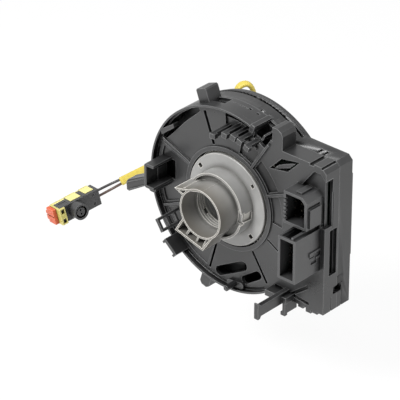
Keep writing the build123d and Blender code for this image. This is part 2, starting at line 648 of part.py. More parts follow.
def magnet(index):
    return slab(Pos(*gear_centre(index)) * Circle(MAGNET_R), GEAR_REAR - MAGNET_T, GEAR_REAR)


DRIVER_R = 27.5


def rotor_disc():
    """Wheel-side disc with a finely ribbed edge, the cable reel and the driving pegs."""
    disc = ring(ROTOR_R, 20.0, DISC_FRONT + 0.8, DISC_REAR)
    lip = ring(ROTOR_R - 0.6, 20.0, DISC_FRONT, DISC_FRONT + 0.8)
    reel = ring(REEL_R, REEL_R - 1.6, FLOOR_REAR + 0.6, DISC_FRONT)
    spigot = ring(SLEEVE_R - SLEEVE_WALL - SEAT_GAP, SLEEVE_R - SLEEVE_WALL - 1.8, DISC_FRONT - 3.0, DISC_FRONT)
    hub = ring(22.0, 20.0, DISC_REAR, DISC_REAR + 4.0)
    body = disc + lip + reel + spigot + hub
    for angle in (90.0, 270.0):
        peg = slab(Pos(*polar(DRIVER_R, angle)) * Circle(2.6), DISC_REAR, DISC_REAR + 7.0)
        body += chamfer(peg.edges().group_by(Axis.Y)[-1], 0.8)
    rib = block((32.0, 56.5), (DISC_REAR - 0.4, DISC_REAR + 1.2), (-0.7, 0.7))
    body += [at_angle(rib, angle) for angle in (0.0, 30.0, 150.0, 240.0, 330.0)]
    body += slab(Circle(57.5) - Circle(56.0), DISC_REAR - 0.4, DISC_REAR + 1.2)
    return body


WHEEL_SOCKET_ANGLE = -62.0
WHEEL_SOCKET_X = (34.0, 45.0)
WHEEL_SOCKET_Z = (-12.5, 12.5)
WHEEL_SOCKET_H = 10.0


def wheel_socket():
    """Socket for the wheel's horn and switch wiring, open towards the wheel."""
    shell = block(WHEEL_SOCKET_X, (DISC_REAR, DISC_REAR + WHEEL_SOCKET_H), WHEEL_SOCKET_Z)
    shell -= block((WHEEL_SOCKET_X[0] + 1.3, WHEEL_SOCKET_X[1] - 1.3), (DISC_REAR + 1.5, DISC_REAR + WHEEL_SOCKET_H + 1),
                   (WHEEL_SOCKET_Z[0] + 1.3, WHEEL_SOCKET_Z[1] - 1.3))
    shell += block((WHEEL_SOCKET_X[1], WHEEL_SOCKET_X[1] + 1.4), (DISC_REAR + 4.0, DISC_REAR + WHEEL_SOCKET_H - 1), (-3.0, 3.0))
    return at_angle(shell, WHEEL_SOCKET_ANGLE)


def wheel_pins():
    middle = (WHEEL_SOCKET_X[0] + WHEEL_SOCKET_X[1]) / 2
    pins = []
    for row in (-2.0, 2.0):
        for k in range(6):
            z = -8.75 + 3.5 * k
            pin = block((middle + row - 0.4, middle + row + 0.4), (DISC_REAR + 1.5, DISC_REAR + 7.5), (z - 0.4, z + 0.4))
            pins.append(at_angle(pin, WHEEL_SOCKET_ANGLE))
    return Compound(children=pins)


# Air-bag leads. Each lies in one plane: its route's points are chosen by hand as distances
# along a run direction and along a rise direction from the plane's origin.

LEAD_PLANES = (
    dict(origin=(-49.0, 0.0, 8.6), run=(-0.79, 0.0, -0.613), rise=(0.0, 1.0, 0.0)),
    dict(origin=(-27.0, 35.0, 0.0), run=(0.5, 0.866, 0.0), rise=(0.0, 0.0, 1.0)),
)
LEAD_POINTS = (
    ((0.0, 36.0), (22.0, 36.5), (44.0, 36.0), (64.0, 34.2), (80.5, 30.2)),
    ((0.0, 30.0), (-0.3, 41.0), (0.0, 51.3), (4.7, 56.0), (11.3, 56.0), (16.0, 51.3), (16.4, 41.5),
     (14.9, 31.5)),
)
SLEEVE_SHORT = (1.0, 6.0)
PLUG_PLACES = (
    dict(rear=(-123.3, 14.0, -49.1), along=(-0.2, -0.965, -0.16), barrel=(0.965, -0.227, 0.135)),
    dict(rear=(-20.3, 46.7, 19.0), along=(0.15, -0.1, -0.98), barrel=(-1.0, 0.1, -0.15)),
)
WIRE_END_RUN = 9.0
WIRE_HOLE = 1.2


def corner_radii(points, share=0.45):
    """Radius at each corner of a route, as large as its two runs allow."""
    radii = []
    for before, corner, after in zip(points, points[1:], points[2:]):
        a = corner - before
        b = after - corner
        radii.append(share * min(a.length, b.length) / tan(radians(a.get_angle(b)) / 2))
    return radii


def lead_normal(index):
    place = LEAD_PLANES[index]
    return Vector(*place["run"]).cross(Vector(*place["rise"])).normalized()


def lead_route(index, side=0):
    """A lead's route from its clamp to its plug: side 0 is the middle, -1 and 1 are the wires."""
    place = LEAD_PLANES[index]
    run, rise = Vector(*place["run"]), Vector(*place["rise"])
    beside = lead_normal(index) * side * WIRE_PITCH / 2
    points = [Vector(*place["origin"]) + run * p + rise * q + beside for p, q in LEAD_POINTS[index]]
    frame = plug_frame(index)
    towards = frame.y_dir * side * PLUG_PITCH / 2
    if towards.dot(beside) < 0:
        towards = towards * -1
    entry = frame.origin + towards
    return points + [entry + frame.z_dir * WIRE_END_RUN, entry - frame.z_dir * WIRE_HOLE]


def plug_frame(index):
    """The plug's own frame: origin at its wire end, X along the barrel and -Z along the body."""
    place = PLUG_PLACES[index]
    along = Vector(*place["along"]).normalized()
    barrel = Vector(*place["barrel"])
    barrel = (barrel - along * barrel.dot(along)).normalized()
    return Plane(origin=place["rear"], x_dir=barrel, z_dir=-along)


def start_plane(index, points):
    heading = (points[1] - points[0]).normalized()
    return Plane(origin=points[0], x_dir=lead_normal(index), z_dir=heading)


def lead_sleeve(index):
    """Yellow flat sleeve over both wires, from the clamp to just before the route's last bend."""
    route = lead_route(index)
    last = len(LEAD_POINTS[index]) - 1
    back = (route[last - 1] - route[last]).normalized() * SLEEVE_SHORT[index]
    points = route[:last] + [route[last] + back]
    radii = [min(pair) for pair in zip(corner_radii(route), corner_radii(points))]
    path = FilletPolyline(*points, radius=radii)
    wall = 2 * LEAD_SLEEVE_WALL
    hollow = Rectangle(LEAD_SLEEVE_W - wall, LEAD_SLEEVE_T - wall)
    section = Rectangle(LEAD_SLEEVE_W, LEAD_SLEEVE_T) - hollow
    return sweep(start_plane(index, points) * section, path=path)


def lead_wire(index, side):
    points = lead_route(index, side)
    path = FilletPolyline(*points, radius=corner_radii(points))
    return sweep(start_plane(index, points) * Circle(WIRE_D / 2), path=path)


def lead_clamp(index):
    """Strain relief on the disc, whose outer face the sleeve comes out of."""
    points = lead_route(index)
    start = points[0]
    frame = start_plane(index, points)
    height = start.Y - DISC_REAR
    body = frame * Pos(0, 0, -5.5) * Box(LEAD_SLEEVE_W + 4.4, 2 * height, 11.0)
    body = body & block((-80, 80), (DISC_REAR, start.Y + height), (-80, 80))
    outer_edges = body.edges().sort_by(Axis.Y)[-4:]
    return chamfer(outer_edges, 1.0)


def plug_body(index):
    """Angled black plug: a flat box with its round barrel near the far end."""
    body = Pos(0, 0, -(PLUG_L - 1.2) / 2) * Box(PLUG_H, PLUG_W, PLUG_L - 1.2)
    body = chamfer(body.edges().filter_by(Axis.Z), 1.1)
    barrel_z = -PLUG_L + 10.5
    barrel = Pos(PLUG_H / 2 + BARREL_L / 2, 0, barrel_z) * Rot(0, 90, 0) * Cylinder(BARREL_D / 2, BARREL_L)
    bore = Pos(PLUG_H / 2 + BARREL_L / 2 + 1.5, 0, barrel_z) * Rot(0, 90, 0) * Cylinder(BARREL_D / 2 - 1.2, BARREL_L)
    core = Pos(PLUG_H / 2 + BARREL_L / 2 - 0.6, 0, barrel_z) * Rot(0, 90, 0) * Cylinder(2.9, BARREL_L - 1.2)
    body = body + barrel - bore + core
    for side in (-1, 1):
        body -= Pos(PLUG_H / 2 + BARREL_L - 1.0, side * 1.35, barrel_z) * Rot(0, 90, 0) * Cylinder(0.65, 5.0)
        body -= Pos(PLUG_H / 2, side * 3.0, -3.6) * Box(1.2, 1.5, 1.5)
        body -= Pos(0, side * PLUG_PITCH / 2, -WIRE_HOLE / 2) * Cylinder(WIRE_D / 2 + 0.2, WIRE_HOLE)
    return body


def plug_cover(index):
    """Pale secondary cover that wraps the plug's back and far end, with two windows."""
    back = Pos(-PLUG_H / 2 - 0.6, 0, -PLUG_L / 2 - 0.5) * Box(1.2, PLUG_W - 1.0, PLUG_L - 2.0)
    back -= Pos(-PLUG_H / 2 - 0.9, 0, -PLUG_L * 0.42) * Box(1.0, PLUG_W, 6.0)
    end = Pos(-0.3, 0, -PLUG_L + 0.6) * Box(PLUG_H + 1.8, PLUG_W + 1.6, 1.2)
    end += Pos(PLUG_H / 2 + 1.2, 0, -PLUG_L + 1.8) * Box(1.2, PLUG_W + 1.6, 3.6)
    for side in (-1, 1):
        end -= Pos(PLUG_H / 2 + 1.2, side * 3.4, -PLUG_L + 1.9) * Box(2.4, 2.9, 2.0)
    return back + end


def plug_lock(index):
    """Orange lock that is pushed into the far end of the plug."""
    plate = Pos(-1.5, 0, -PLUG_L - 0.3 - LOCK_T / 2) * Box(PLUG_H - 1.0, PLUG_W - 1.6, LOCK_T)
    plate = chamfer(plate.edges().filter_by(Axis.Z), 1.0)
    thumb = Pos(-PLUG_H / 2 - 1.6, 0, -PLUG_L - 0.3 - LOCK_T / 2) * Box(2.6, 6.0, LOCK_T)
    slit = Pos(-1.5, 0, -PLUG_L - 0.3 - LOCK_T) * Box(PLUG_H, 1.2, 1.4)
    return plate + thumb - slit


def placed_on_plug(index, shape):
    return plug_frame(index).location * shape


def export_all():
    os.makedirs("parts", exist_ok=True)
    upper_pins = pin_rows(UPPER_SOCKET, 3, 4)
    lower_pins = pin_rows(LOWER_SOCKET, 2, 5)
    nodes = {
        "front_cover": front_cover(),
        "rear_case": rear_case(),
        "connector_block": drill_for(connector_block(), upper_pins + lower_pins),
        "upper_socket_pins": Compound(children=upper_pins),
        "lower_socket_pins": Compound(children=lower_pins),
        "circuit_board": circuit_board(),
        "sensor_chips": sensor_chips(),
        "rear_lid": rear_lid(),
        "slide_sheet": slide_sheet(),
        "flat_cable": flat_cable(),
        "outer_cable_terminal": outer_terminal(),
        "inner_cable_terminal": inner_terminal(),
        "cancel_cam": cancel_cam(),
        "ring_gear": ring_gear(),
        "rotor_disc": rotor_disc(),
        "wheel_socket": wheel_socket(),
        "wheel_socket_pins": wheel_pins(),
    }
    for index in range(2):
        number = index + 1
        nodes[f"angle_gear_{number}"] = angle_gear(index)
        nodes[f"angle_magnet_{number}"] = magnet(index)
        nodes[f"lead_clamp_{number}"] = lead_clamp(index)
        nodes[f"lead_sleeve_{number}"] = lead_sleeve(index)
        nodes[f"lead_dark_wire_{number}"] = lead_wire(index, -1)
        nodes[f"lead_brown_wire_{number}"] = lead_wire(index, 1)
        nodes[f"plug_body_{number}"] = placed_on_plug(index, plug_body(index))
        nodes[f"plug_cover_{number}"] = placed_on_plug(index, plug_cover(index))
        nodes[f"plug_lock_{number}"] = placed_on_plug(index, plug_lock(index))
        for side in (-1, 1):
            print("wire", number, side, "radii", [round(r, 1) for r in corner_radii(lead_route(index, side))])
    for name, solid in nodes.items():
        solid.label = name
        export_step(solid, f"parts/{name}.step")
        print(name, len(solid.solids()), "solids", round(solid.volume / 1000, 2), "cm3")


export_all()
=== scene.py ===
"""Steering clock spring: looks, camera and light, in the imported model's frame and in metres."""
from math import atan2, cos, degrees, pi, radians, sin

import bmesh
import bpy
from mathutils import Matrix, Vector


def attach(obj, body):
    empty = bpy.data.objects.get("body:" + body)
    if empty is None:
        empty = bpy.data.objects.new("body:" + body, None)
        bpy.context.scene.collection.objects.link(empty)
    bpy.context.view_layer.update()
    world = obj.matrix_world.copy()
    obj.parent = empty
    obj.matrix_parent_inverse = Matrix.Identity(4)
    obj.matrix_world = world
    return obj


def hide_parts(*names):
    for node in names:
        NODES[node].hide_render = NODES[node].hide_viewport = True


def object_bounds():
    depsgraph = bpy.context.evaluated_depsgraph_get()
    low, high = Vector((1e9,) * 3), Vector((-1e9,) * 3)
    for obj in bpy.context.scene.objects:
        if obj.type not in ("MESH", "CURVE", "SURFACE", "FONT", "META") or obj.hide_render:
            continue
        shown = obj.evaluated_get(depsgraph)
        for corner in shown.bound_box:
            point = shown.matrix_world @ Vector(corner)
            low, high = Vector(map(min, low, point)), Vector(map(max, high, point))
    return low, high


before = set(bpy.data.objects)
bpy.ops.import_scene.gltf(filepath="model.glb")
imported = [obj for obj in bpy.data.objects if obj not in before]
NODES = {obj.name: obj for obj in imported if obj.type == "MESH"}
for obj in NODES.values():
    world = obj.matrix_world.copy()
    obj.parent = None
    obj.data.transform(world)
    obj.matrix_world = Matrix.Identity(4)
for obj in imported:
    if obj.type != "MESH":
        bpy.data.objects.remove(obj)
CAD_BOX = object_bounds()
MM = 0.001

# Camera of the photograph

AZIMUTH = radians(42.2)
ELEVATION = radians(29.7)
DISTANCE = 1.8
LENS = 270.0
ASIDE = 0.0159
LIFT = 0.0001


def make_camera():
    """The camera, aimed past the origin and moved aside to centre the object."""
    right = Vector((cos(AZIMUTH), sin(AZIMUTH), 0))
    back = Vector((sin(AZIMUTH) * cos(ELEVATION), -cos(AZIMUTH) * cos(ELEVATION), sin(ELEVATION)))
    up = back.cross(right)
    data = bpy.data.cameras.new("camera")
    data.lens = LENS
    data.sensor_width = 36.0
    data.clip_end = 20.0
    camera = bpy.data.objects.new("camera", data)
    bpy.context.scene.collection.objects.link(camera)
    place = back * DISTANCE - right * ASIDE - up * LIFT
    turn = Matrix((right, up, back)).transposed().to_4x4()
    camera.matrix_world = Matrix.Translation(place) @ turn
    bpy.context.scene.camera = camera


make_camera()


# Materials

def new_material(name):
    material = bpy.data.materials.new(name)
    material.use_nodes = True
    material.node_tree.nodes.clear()
    return material, material.node_tree.nodes, material.node_tree.links


def surface_group():
    """Shared surface effect: softened edges, moulded grain and mottling, and the masks of a painted
    highlight on edges and of painted shade in hollows.
    """
    group = bpy.data.node_groups.new("moulded_surface_and_painted_light", "ShaderNodeTree")
    face = group.interface
    for name, value in (("Grain scale", 900.0), ("Grain depth", 0.00001), ("Wave depth", 0.00003),
                        ("Hollow reach", 0.007)):
        socket = face.new_socket(name, in_out="INPUT", socket_type="NodeSocketFloat")
        socket.default_value = value
    face.new_socket("Normal", in_out="OUTPUT", socket_type="NodeSocketVector")
    for name in ("Mottle", "Painted highlight", "Hollow"):
        face.new_socket(name, in_out="OUTPUT", socket_type="NodeSocketFloat")
    nodes, links = group.nodes, group.links
    start = nodes.new("NodeGroupInput")
    end = nodes.new("NodeGroupOutput")
    where = nodes.new("ShaderNodeTexCoord")
    edge = nodes.new("ShaderNodeBevel")
    edge.samples = 6
    edge.inputs["Radius"].default_value = 0.0004
    wave = nodes.new("ShaderNodeTexNoise")
    wave.inputs["Scale"].default_value = 45.0
    wave.inputs["Detail"].default_value = 1.0
    grain = nodes.new("ShaderNodeTexNoise")
    grain.inputs["Detail"].default_value = 3.0
    mottle = nodes.new("ShaderNodeTexNoise")
    mottle.inputs["Scale"].default_value = 70.0
    mottle.inputs["Detail"].default_value = 4.0
    for texture in (wave, grain, mottle):
        links.new(where.outputs["Object"], texture.inputs["Vector"])
    links.new(start.outputs["Grain scale"], grain.inputs["Scale"])
    low = nodes.new("ShaderNodeBump")
    links.new(start.outputs["Wave depth"], low.inputs["Distance"])
    links.new(wave.outputs["Fac"], low.inputs["Height"])
    links.new(edge.outputs["Normal"], low.inputs["Normal"])
    fine = nodes.new("ShaderNodeBump")
    links.new(start.outputs["Grain depth"], fine.inputs["Distance"])
    links.new(grain.outputs["Fac"], fine.inputs["Height"])
    links.new(low.outputs["Normal"], fine.inputs["Normal"])
    links.new(fine.outputs["Normal"], end.inputs["Normal"])
    links.new(mottle.outputs["Fac"], end.inputs["Mottle"])
    # Painted highlight: a short inside AO mask that lightens convex edges.
    edge_highlight_probe = nodes.new("ShaderNodeAmbientOcclusion")
    edge_highlight_probe.inside = True
    edge_highlight_probe.samples = 6
    edge_highlight_probe.inputs["Distance"].default_value = 0.0005
    painted_highlight_mask = nodes.new("ShaderNodeMapRange")
    painted_highlight_mask.inputs["From Min"].default_value = 0.92
    painted_highlight_mask.inputs["From Max"].default_value = 0.5
    links.new(edge_highlight_probe.outputs["AO"], painted_highlight_mask.inputs["Value"])
    links.new(painted_highlight_mask.outputs["Result"], end.inputs["Painted highlight"])
    # Painted shade: an AO mask that darkens hollows, corners and gaps between parts.
    painted_shade = nodes.new("ShaderNodeAmbientOcclusion")
    painted_shade.samples = 8
    links.new(start.outputs["Hollow reach"], painted_shade.inputs["Distance"])
    deep = nodes.new("ShaderNodeMapRange")
    deep.inputs["From Min"].default_value = 0.88
    deep.inputs["From Max"].default_value = 0.4
    links.new(painted_shade.outputs["AO"], deep.inputs["Value"])
    links.new(deep.outputs["Result"], end.inputs["Hollow"])
    return group


SURFACE = surface_group()


def mixed(nodes, links, mask, first, second):
    """A colour that turns from the first to the second with a mask; a colour or a socket each."""
    mix = nodes.new("ShaderNodeMix")
    mix.data_type = "RGBA"
    links.new(mask, mix.inputs["Factor"])
    for name, colour in (("A", first), ("B", second)):
        socket = [entry for entry in mix.inputs if entry.name == name and entry.type == "RGBA"][0]
        if isinstance(colour, tuple):
            socket.default_value = (*colour, 1)
        else:
            links.new(colour, socket)
    return [entry for entry in mix.outputs if entry.type == "RGBA"][0]


def plastic(name, dark, light, rough=(0.38, 0.52), grain=900.0, depth=0.00001, wave=0.00003, metal=0.0,
            edge=None, painted_shade=None, reach=0.007, painted_shade_tint=None):
    """Moulded plastic or metal whose colour and gloss vary a little from place to place.

    Its edges take the edge colour, a painted highlight, and its hollows the hollow colour, painted shade;
    tint is a colour of painted shade and the two stations on the turning axis between which it fades out.
    """
    material, nodes, links = new_material(name)
    out = nodes.new("ShaderNodeOutputMaterial")
    shader = nodes.new("ShaderNodeBsdfPrincipled")
    surface = nodes.new("ShaderNodeGroup")
    surface.node_tree = SURFACE
    surface.inputs["Grain scale"].default_value = grain
    surface.inputs["Grain depth"].default_value = depth
    surface.inputs["Wave depth"].default_value = wave
    surface.inputs["Hollow reach"].default_value = reach
    ramp = nodes.new("ShaderNodeValToRGB")
    ramp.color_ramp.elements[0].position = 0.3
    ramp.color_ramp.elements[0].color = (*dark, 1)
    ramp.color_ramp.elements[1].position = 0.7
    ramp.color_ramp.elements[1].color = (*light, 1)
    gloss = nodes.new("ShaderNodeMapRange")
    gloss.inputs["From Min"].default_value = 0.3
    gloss.inputs["From Max"].default_value = 0.7
    gloss.inputs["To Min"].default_value = rough[0]
    gloss.inputs["To Max"].default_value = rough[1]
    links.new(surface.outputs["Mottle"], ramp.inputs["Fac"])
    links.new(surface.outputs["Mottle"], gloss.inputs["Value"])
    colour = ramp.outputs["Color"]
    # Painted shade: the colour turns darker between two stations on the turning axis.
    if painted_shade_tint:
        where = nodes.new("ShaderNodeTexCoord")
        axes = nodes.new("ShaderNodeSeparateXYZ")
        fade = nodes.new("ShaderNodeMapRange")
        fade.inputs["From Min"].default_value = painted_shade_tint[2] * MM
        fade.inputs["From Max"].default_value = painted_shade_tint[1] * MM
        links.new(where.outputs["Object"], axes.inputs["Vector"])
        links.new(axes.outputs["Y"], fade.inputs["Value"])
        colour = mixed(nodes, links, fade.outputs["Result"], colour, painted_shade_tint[0])
    # Painted shade: hollows turn to the darker hollow colour.
    if painted_shade:
        colour = mixed(nodes, links, surface.outputs["Hollow"], colour, painted_shade)
    # Painted highlight: edges turn to the lighter edge colour.
    if edge:
        colour = mixed(nodes, links, surface.outputs["Painted highlight"], colour, edge)
    links.new(colour, shader.inputs["Base Color"])
    links.new(gloss.outputs["Result"], shader.inputs["Roughness"])
    links.new(surface.outputs["Normal"], shader.inputs["Normal"])
    shader.inputs["Metallic"].default_value = metal
    links.new(shader.outputs["BSDF"], out.inputs["Surface"])
    return material


# Each edge colour is a painted highlight on convex edges, and each hollow colour is painted shade in
# hollows, corners and gaps.
BLACK = plastic("black_plastic", (0.017, 0.0172, 0.0177), (0.026, 0.0262, 0.0267), (0.26, 0.40),
                wave=0.00006, edge=(0.14, 0.141, 0.143), painted_shade=(0.001, 0.001, 0.001), reach=0.009)
CASE_BLACK = plastic("case_plastic", (0.014, 0.0142, 0.0147), (0.022, 0.0222, 0.0227), (0.28, 0.42),
                     wave=0.00007, edge=(0.085, 0.086, 0.088), painted_shade=(0.0015, 0.0015, 0.0015))
SOCKET_BLACK = plastic("socket_plastic", (0.034, 0.0342, 0.035), (0.044, 0.0442, 0.045), (0.28, 0.42),
                       edge=(0.10, 0.101, 0.103), painted_shade=(0.0004, 0.0004, 0.0004), reach=0.008)
# The grey darkens and browns towards the hub's mouth: painted shade.
GREY = plastic("grey_plastic", (0.24, 0.238, 0.232), (0.30, 0.298, 0.29), (0.32, 0.46),
               edge=(0.74, 0.72, 0.67), painted_shade=(0.11, 0.108, 0.10), reach=0.005,
               painted_shade_tint=((0.135, 0.127, 0.112), -22.0, -7.0))
WHITE = plastic("white_plastic", (0.66, 0.65, 0.60), (0.74, 0.73, 0.68), (0.35, 0.5))
# The contact metal is made near black, painted shade for the dark inside the sockets.
PAINTED_SHADE_PIN_METAL = plastic("contact_metal", (0.012, 0.011, 0.009), (0.02, 0.018, 0.014), (0.3, 0.45), metal=1.0)
BOARD = plastic("board_green", (0.004, 0.012, 0.007), (0.006, 0.018, 0.010), (0.35, 0.5))
CHIP = plastic("chip_black", (0.008, 0.008, 0.009), (0.012, 0.012, 0.013), (0.5, 0.65))
FILM = plastic("film", (0.30, 0.27, 0.18), (0.38, 0.34, 0.24), (0.25, 0.4))
STEEL = plastic("magnet_steel", (0.20, 0.20, 0.21), (0.28, 0.28, 0.29), (0.35, 0.5), metal=1.0)
SLEEVE = plastic("yellow_sleeve", (0.36, 0.265, 0.012), (0.48, 0.36, 0.03), (0.34, 0.5), grain=500.0,
                 depth=0.00003, wave=0.0003, edge=(0.56, 0.45, 0.08), painted_shade=(0.12, 0.09, 0.006),
                 reach=0.004)
DARK_WIRE = plastic("dark_wire", (0.022, 0.020, 0.022), (0.036, 0.033, 0.034), (0.3, 0.45),
                    painted_shade=(0.004, 0.004, 0.004), reach=0.003)
BROWN_WIRE = plastic("brown_wire", (0.055, 0.030, 0.022), (0.080, 0.044, 0.032), (0.3, 0.45),
                     painted_shade=(0.012, 0.006, 0.004), reach=0.003)
LEMON = plastic("pale_cover", (0.42, 0.37, 0.09), (0.52, 0.46, 0.13), (0.36, 0.5), edge=(0.70, 0.64, 0.26),
                painted_shade=(0.24, 0.19, 0.03), reach=0.004)
ORANGE = plastic("orange_lock", (0.46, 0.070, 0.022), (0.58, 0.10, 0.035), (0.36, 0.5),
                 edge=(0.75, 0.20, 0.10), painted_shade=(0.20, 0.02, 0.006), reach=0.004)

LOOKS = {"front_cover": BLACK, "rear_case": CASE_BLACK, "rear_lid": CASE_BLACK, "rotor_disc": CASE_BLACK,
         "connector_block": SOCKET_BLACK, "wheel_socket": SOCKET_BLACK, "cancel_cam": GREY,
         "upper_socket_pins": PAINTED_SHADE_PIN_METAL, "lower_socket_pins": PAINTED_SHADE_PIN_METAL, "wheel_socket_pins": PAINTED_SHADE_PIN_METAL,
         "circuit_board": BOARD, "sensor_chips": CHIP, "slide_sheet": FILM, "flat_cable": FILM,
         "outer_cable_terminal": WHITE, "inner_cable_terminal": WHITE, "ring_gear": WHITE}
for number in (1, 2):
    LOOKS.update({f"angle_gear_{number}": WHITE, f"angle_magnet_{number}": STEEL,
                  f"lead_clamp_{number}": BLACK, f"lead_sleeve_{number}": SLEEVE,
                  f"lead_dark_wire_{number}": DARK_WIRE, f"lead_brown_wire_{number}": BROWN_WIRE,
                  f"plug_body_{number}": SOCKET_BLACK, f"plug_cover_{number}": LEMON,
                  f"plug_lock_{number}": ORANGE})


def set_material(piece, material):
    piece.data.materials.clear()
    piece.data.materials.append(material)


for node, material in LOOKS.items():
    set_material(NODES[node], material)


# Shapes: millimetres in X (right), Y (along the turning axis) and Z (up)

DOUBLES = 0.000002
SMOOTH_BELOW = radians(28)
FLAT_BELOW = radians(0.5)
ARC_STEP = 3


def link(name, mesh):
    piece = bpy.data.objects.new(name, mesh)
    bpy.context.scene.collection.objects.link(piece)
    return piece


def edit(piece):
    """Open a piece for editing with all of it selected."""
    bpy.ops.object.select_all(action="DESELECT")
    bpy.context.view_layer.objects.active = piece
    piece.select_set(True)
    bpy.ops.object.mode_set(mode="EDIT")
    bpy.ops.mesh.select_mode(type="FACE")
    bpy.ops.mesh.select_all(action="SELECT")


def close_edit():
    """Merge doubled points, turn all faces outwards and leave editing."""
    bpy.ops.mesh.select_all(action="SELECT")
    bpy.ops.mesh.remove_doubles(threshold=DOUBLES)
    bpy.ops.mesh.normals_make_consistent(inside=False)
    bpy.ops.object.mode_set(mode="OBJECT")


def turned(piece, angle):
    """Turn a piece about the turning axis, from +X towards +Z."""
    piece.data.transform(Matrix.Rotation(-radians(angle), 4, "Y"))
    return piece


def block(x, y, z, angle=0.0, trim=0.0):
    """A box by its low and high ends, its edges along Y trimmed, then turned about the axis."""
    if trim:
        points = [(x[0], z[0]), (x[1] - trim, z[0]), (x[1], z[0] + trim), (x[1], z[1] - trim),
                  (x[1] - trim, z[1]), (x[0], z[1])]
        return prism(points, y[0], y[1], angle)
    middle = [MM * (low + high) / 2 for low, high in (x, y, z)]
    size = [high - low for low, high in (x, y, z)]
    bpy.ops.mesh.primitive_cube_add(size=MM, location=middle, scale=size)
    piece = bpy.context.object
    bpy.ops.object.transform_apply(location=True, rotation=True, scale=True)
    return turned(piece, angle)


def prism(points, front, back, angle=0.0):
    """A drawing in X and Z, extruded between two stations on the turning axis."""
    mesh = bpy.data.meshes.new("prism")
    mesh.from_pydata([(x * MM, front * MM, z * MM) for x, z in points], [], [range(len(points))])
    piece = link("prism", mesh)
    edit(piece)
    bpy.ops.mesh.extrude_region_move(TRANSFORM_OT_translate={"value": (0, (back - front) * MM, 0)})
    close_edit()
    return turned(piece, angle)


def polar(radius, angle):
    """X and Z of a point at a radius and an angle from +X towards +Z."""
    return (radius * cos(radians(angle)), radius * sin(radians(angle)))


def sector(inner, outer, start, end, front, back):
    """Part of a flat ring between two angles."""
    steps = max(2, int((end - start) / ARC_STEP))
    angles = [start + (end - start) * k / steps for k in range(steps + 1)]
    points = [polar(outer, a) for a in angles] + [polar(inner, a) for a in reversed(angles)]
    return prism(points, front, back)


def capsule(start, end, width, front, back):
    """A slot shape round a line."""
    (x0, z0), (x1, z1) = start, end
    heading = degrees(atan2(z1 - z0, x1 - x0))
    points = []
    for (x, z), first in (((x1, z1), heading - 90), ((x0, z0), heading + 90)):
        for k in range(9):
            px, pz = polar(width / 2, first + 180 * k / 8)
            points.append((x + px, z + pz))
    return prism(points, front, back)


def disc(x, z, radius, front, back, sides=32):
    """A short cylinder along the turning axis."""
    points = [polar(radius, 360 * k / sides) for k in range(sides)]
    return prism([(x + px, z + pz) for px, pz in points], front, back)


def lathe(name, profile, steps=120):
    """A closed profile of radius and station, spun round the turning axis."""
    mesh = bpy.data.meshes.new(name)
    count = len(profile)
    edges = [(k, (k + 1) % count) for k in range(count)]
    mesh.from_pydata([(r * MM, y * MM, 0) for r, y in profile], edges, [])
    piece = link(name, mesh)
    edit(piece)
    bpy.ops.mesh.select_mode(type="VERT")
    bpy.ops.mesh.select_all(action="SELECT")
    bpy.ops.mesh.spin(steps=steps, angle=radians(360), center=(0, 0, 0), axis=(0, 1, 0))
    close_edit()
    return piece


def combine(piece, others, operation):
    """Cut other shapes out of a piece, or fuse them to it, and delete them."""
    group = bpy.data.collections.new("shapes")
    bpy.context.scene.collection.children.link(group)
    for other in others:
        group.objects.link(other)
    change = piece.modifiers.new("shape", "BOOLEAN")
    change.operation = operation
    change.operand_type = "COLLECTION"
    change.collection = group
    change.solver = "EXACT"
    bpy.ops.object.select_all(action="DESELECT")
    bpy.context.view_layer.objects.active = piece
    piece.select_set(True)
    bpy.ops.object.modifier_apply(modifier=change.name)
    for other in others:
        bpy.data.objects.remove(other)
    bpy.data.collections.remove(group)
    return piece


def cut(piece, others):
    return combine(piece, others, "DIFFERENCE")


def fuse(piece, others):
    return combine(piece, others, "UNION")


def copy_of(node, name):
    """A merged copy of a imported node's mesh."""
    piece = link(name, NODES[node].data.copy())
    edit(piece)
    bpy.ops.mesh.remove_doubles(threshold=DOUBLES)
    bpy.ops.mesh.dissolve_limited(angle_limit=FLAT_BELOW)
    bpy.ops.object.mode_set(mode="OBJECT")
    return piece


def stand_for(piece, name, node, body, material):
    """Finish a new piece: name, smooth shading, material, and the node it stands for."""
    piece.name = name
    edit(piece)
    close_edit()
    bpy.ops.object.shade_smooth_by_angle(angle=SMOOTH_BELOW)
    set_material(piece, material)
    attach(piece, body)
    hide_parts(node)
    return piece


# Housing sizes. Angles are in degrees from +X towards +Z.

PLATE_FRONT = 2.4
PLATE_REAR = 4.6
FACE_CUT = PLATE_FRONT - 0.5
THROUGH = (PLATE_FRONT - 3.0, PLATE_REAR + 0.4)
RIM_FRONT = -1.2
SEAM = 14.8
STATOR_R = 61.0
WALL = 2.0
LIP_INNER = 31.2
LIP_OUTER = 34.0
LIP_FRONT = PLATE_FRONT - 1.1
FUSE = 0.4
BOX_LEFT = 30.0
BOX_RIGHT = 75.0
BOX_BOTTOM = -51.5
BOX_TOP = 47.5
CORNER = 3.5
FIELD_R = LIP_OUTER + 0.8
SIDE_CUT = (BOX_RIGHT - 2.2, BOX_RIGHT + 1)
SIDE_GROOVE = (BOX_RIGHT - 0.6, BOX_RIGHT + 1)
SIDE_WINDOW_Z = (-40.9, -35.6)

SLIT_END = 56.4
SLIT_WIDTHS = {110.7: 2.4, 159.4: 1.2, 254.0: 1.6, 303.0: 1.8, 331.5: 1.3}
RIB_ANGLES = (24.0, 57.0, 157.0, 204.5)
# Sunken panels: outer radius, both angles, depth
PANELS = ((42.0, -6.0, 21.5, 0.9), (43.0, 26.5, 54.5, 1.5), (46.0, 59.5, 77.0, 1.5),
          (55.5, 162.0, 202.0, 0.9), (55.5, 207.0, 251.5, 0.45))
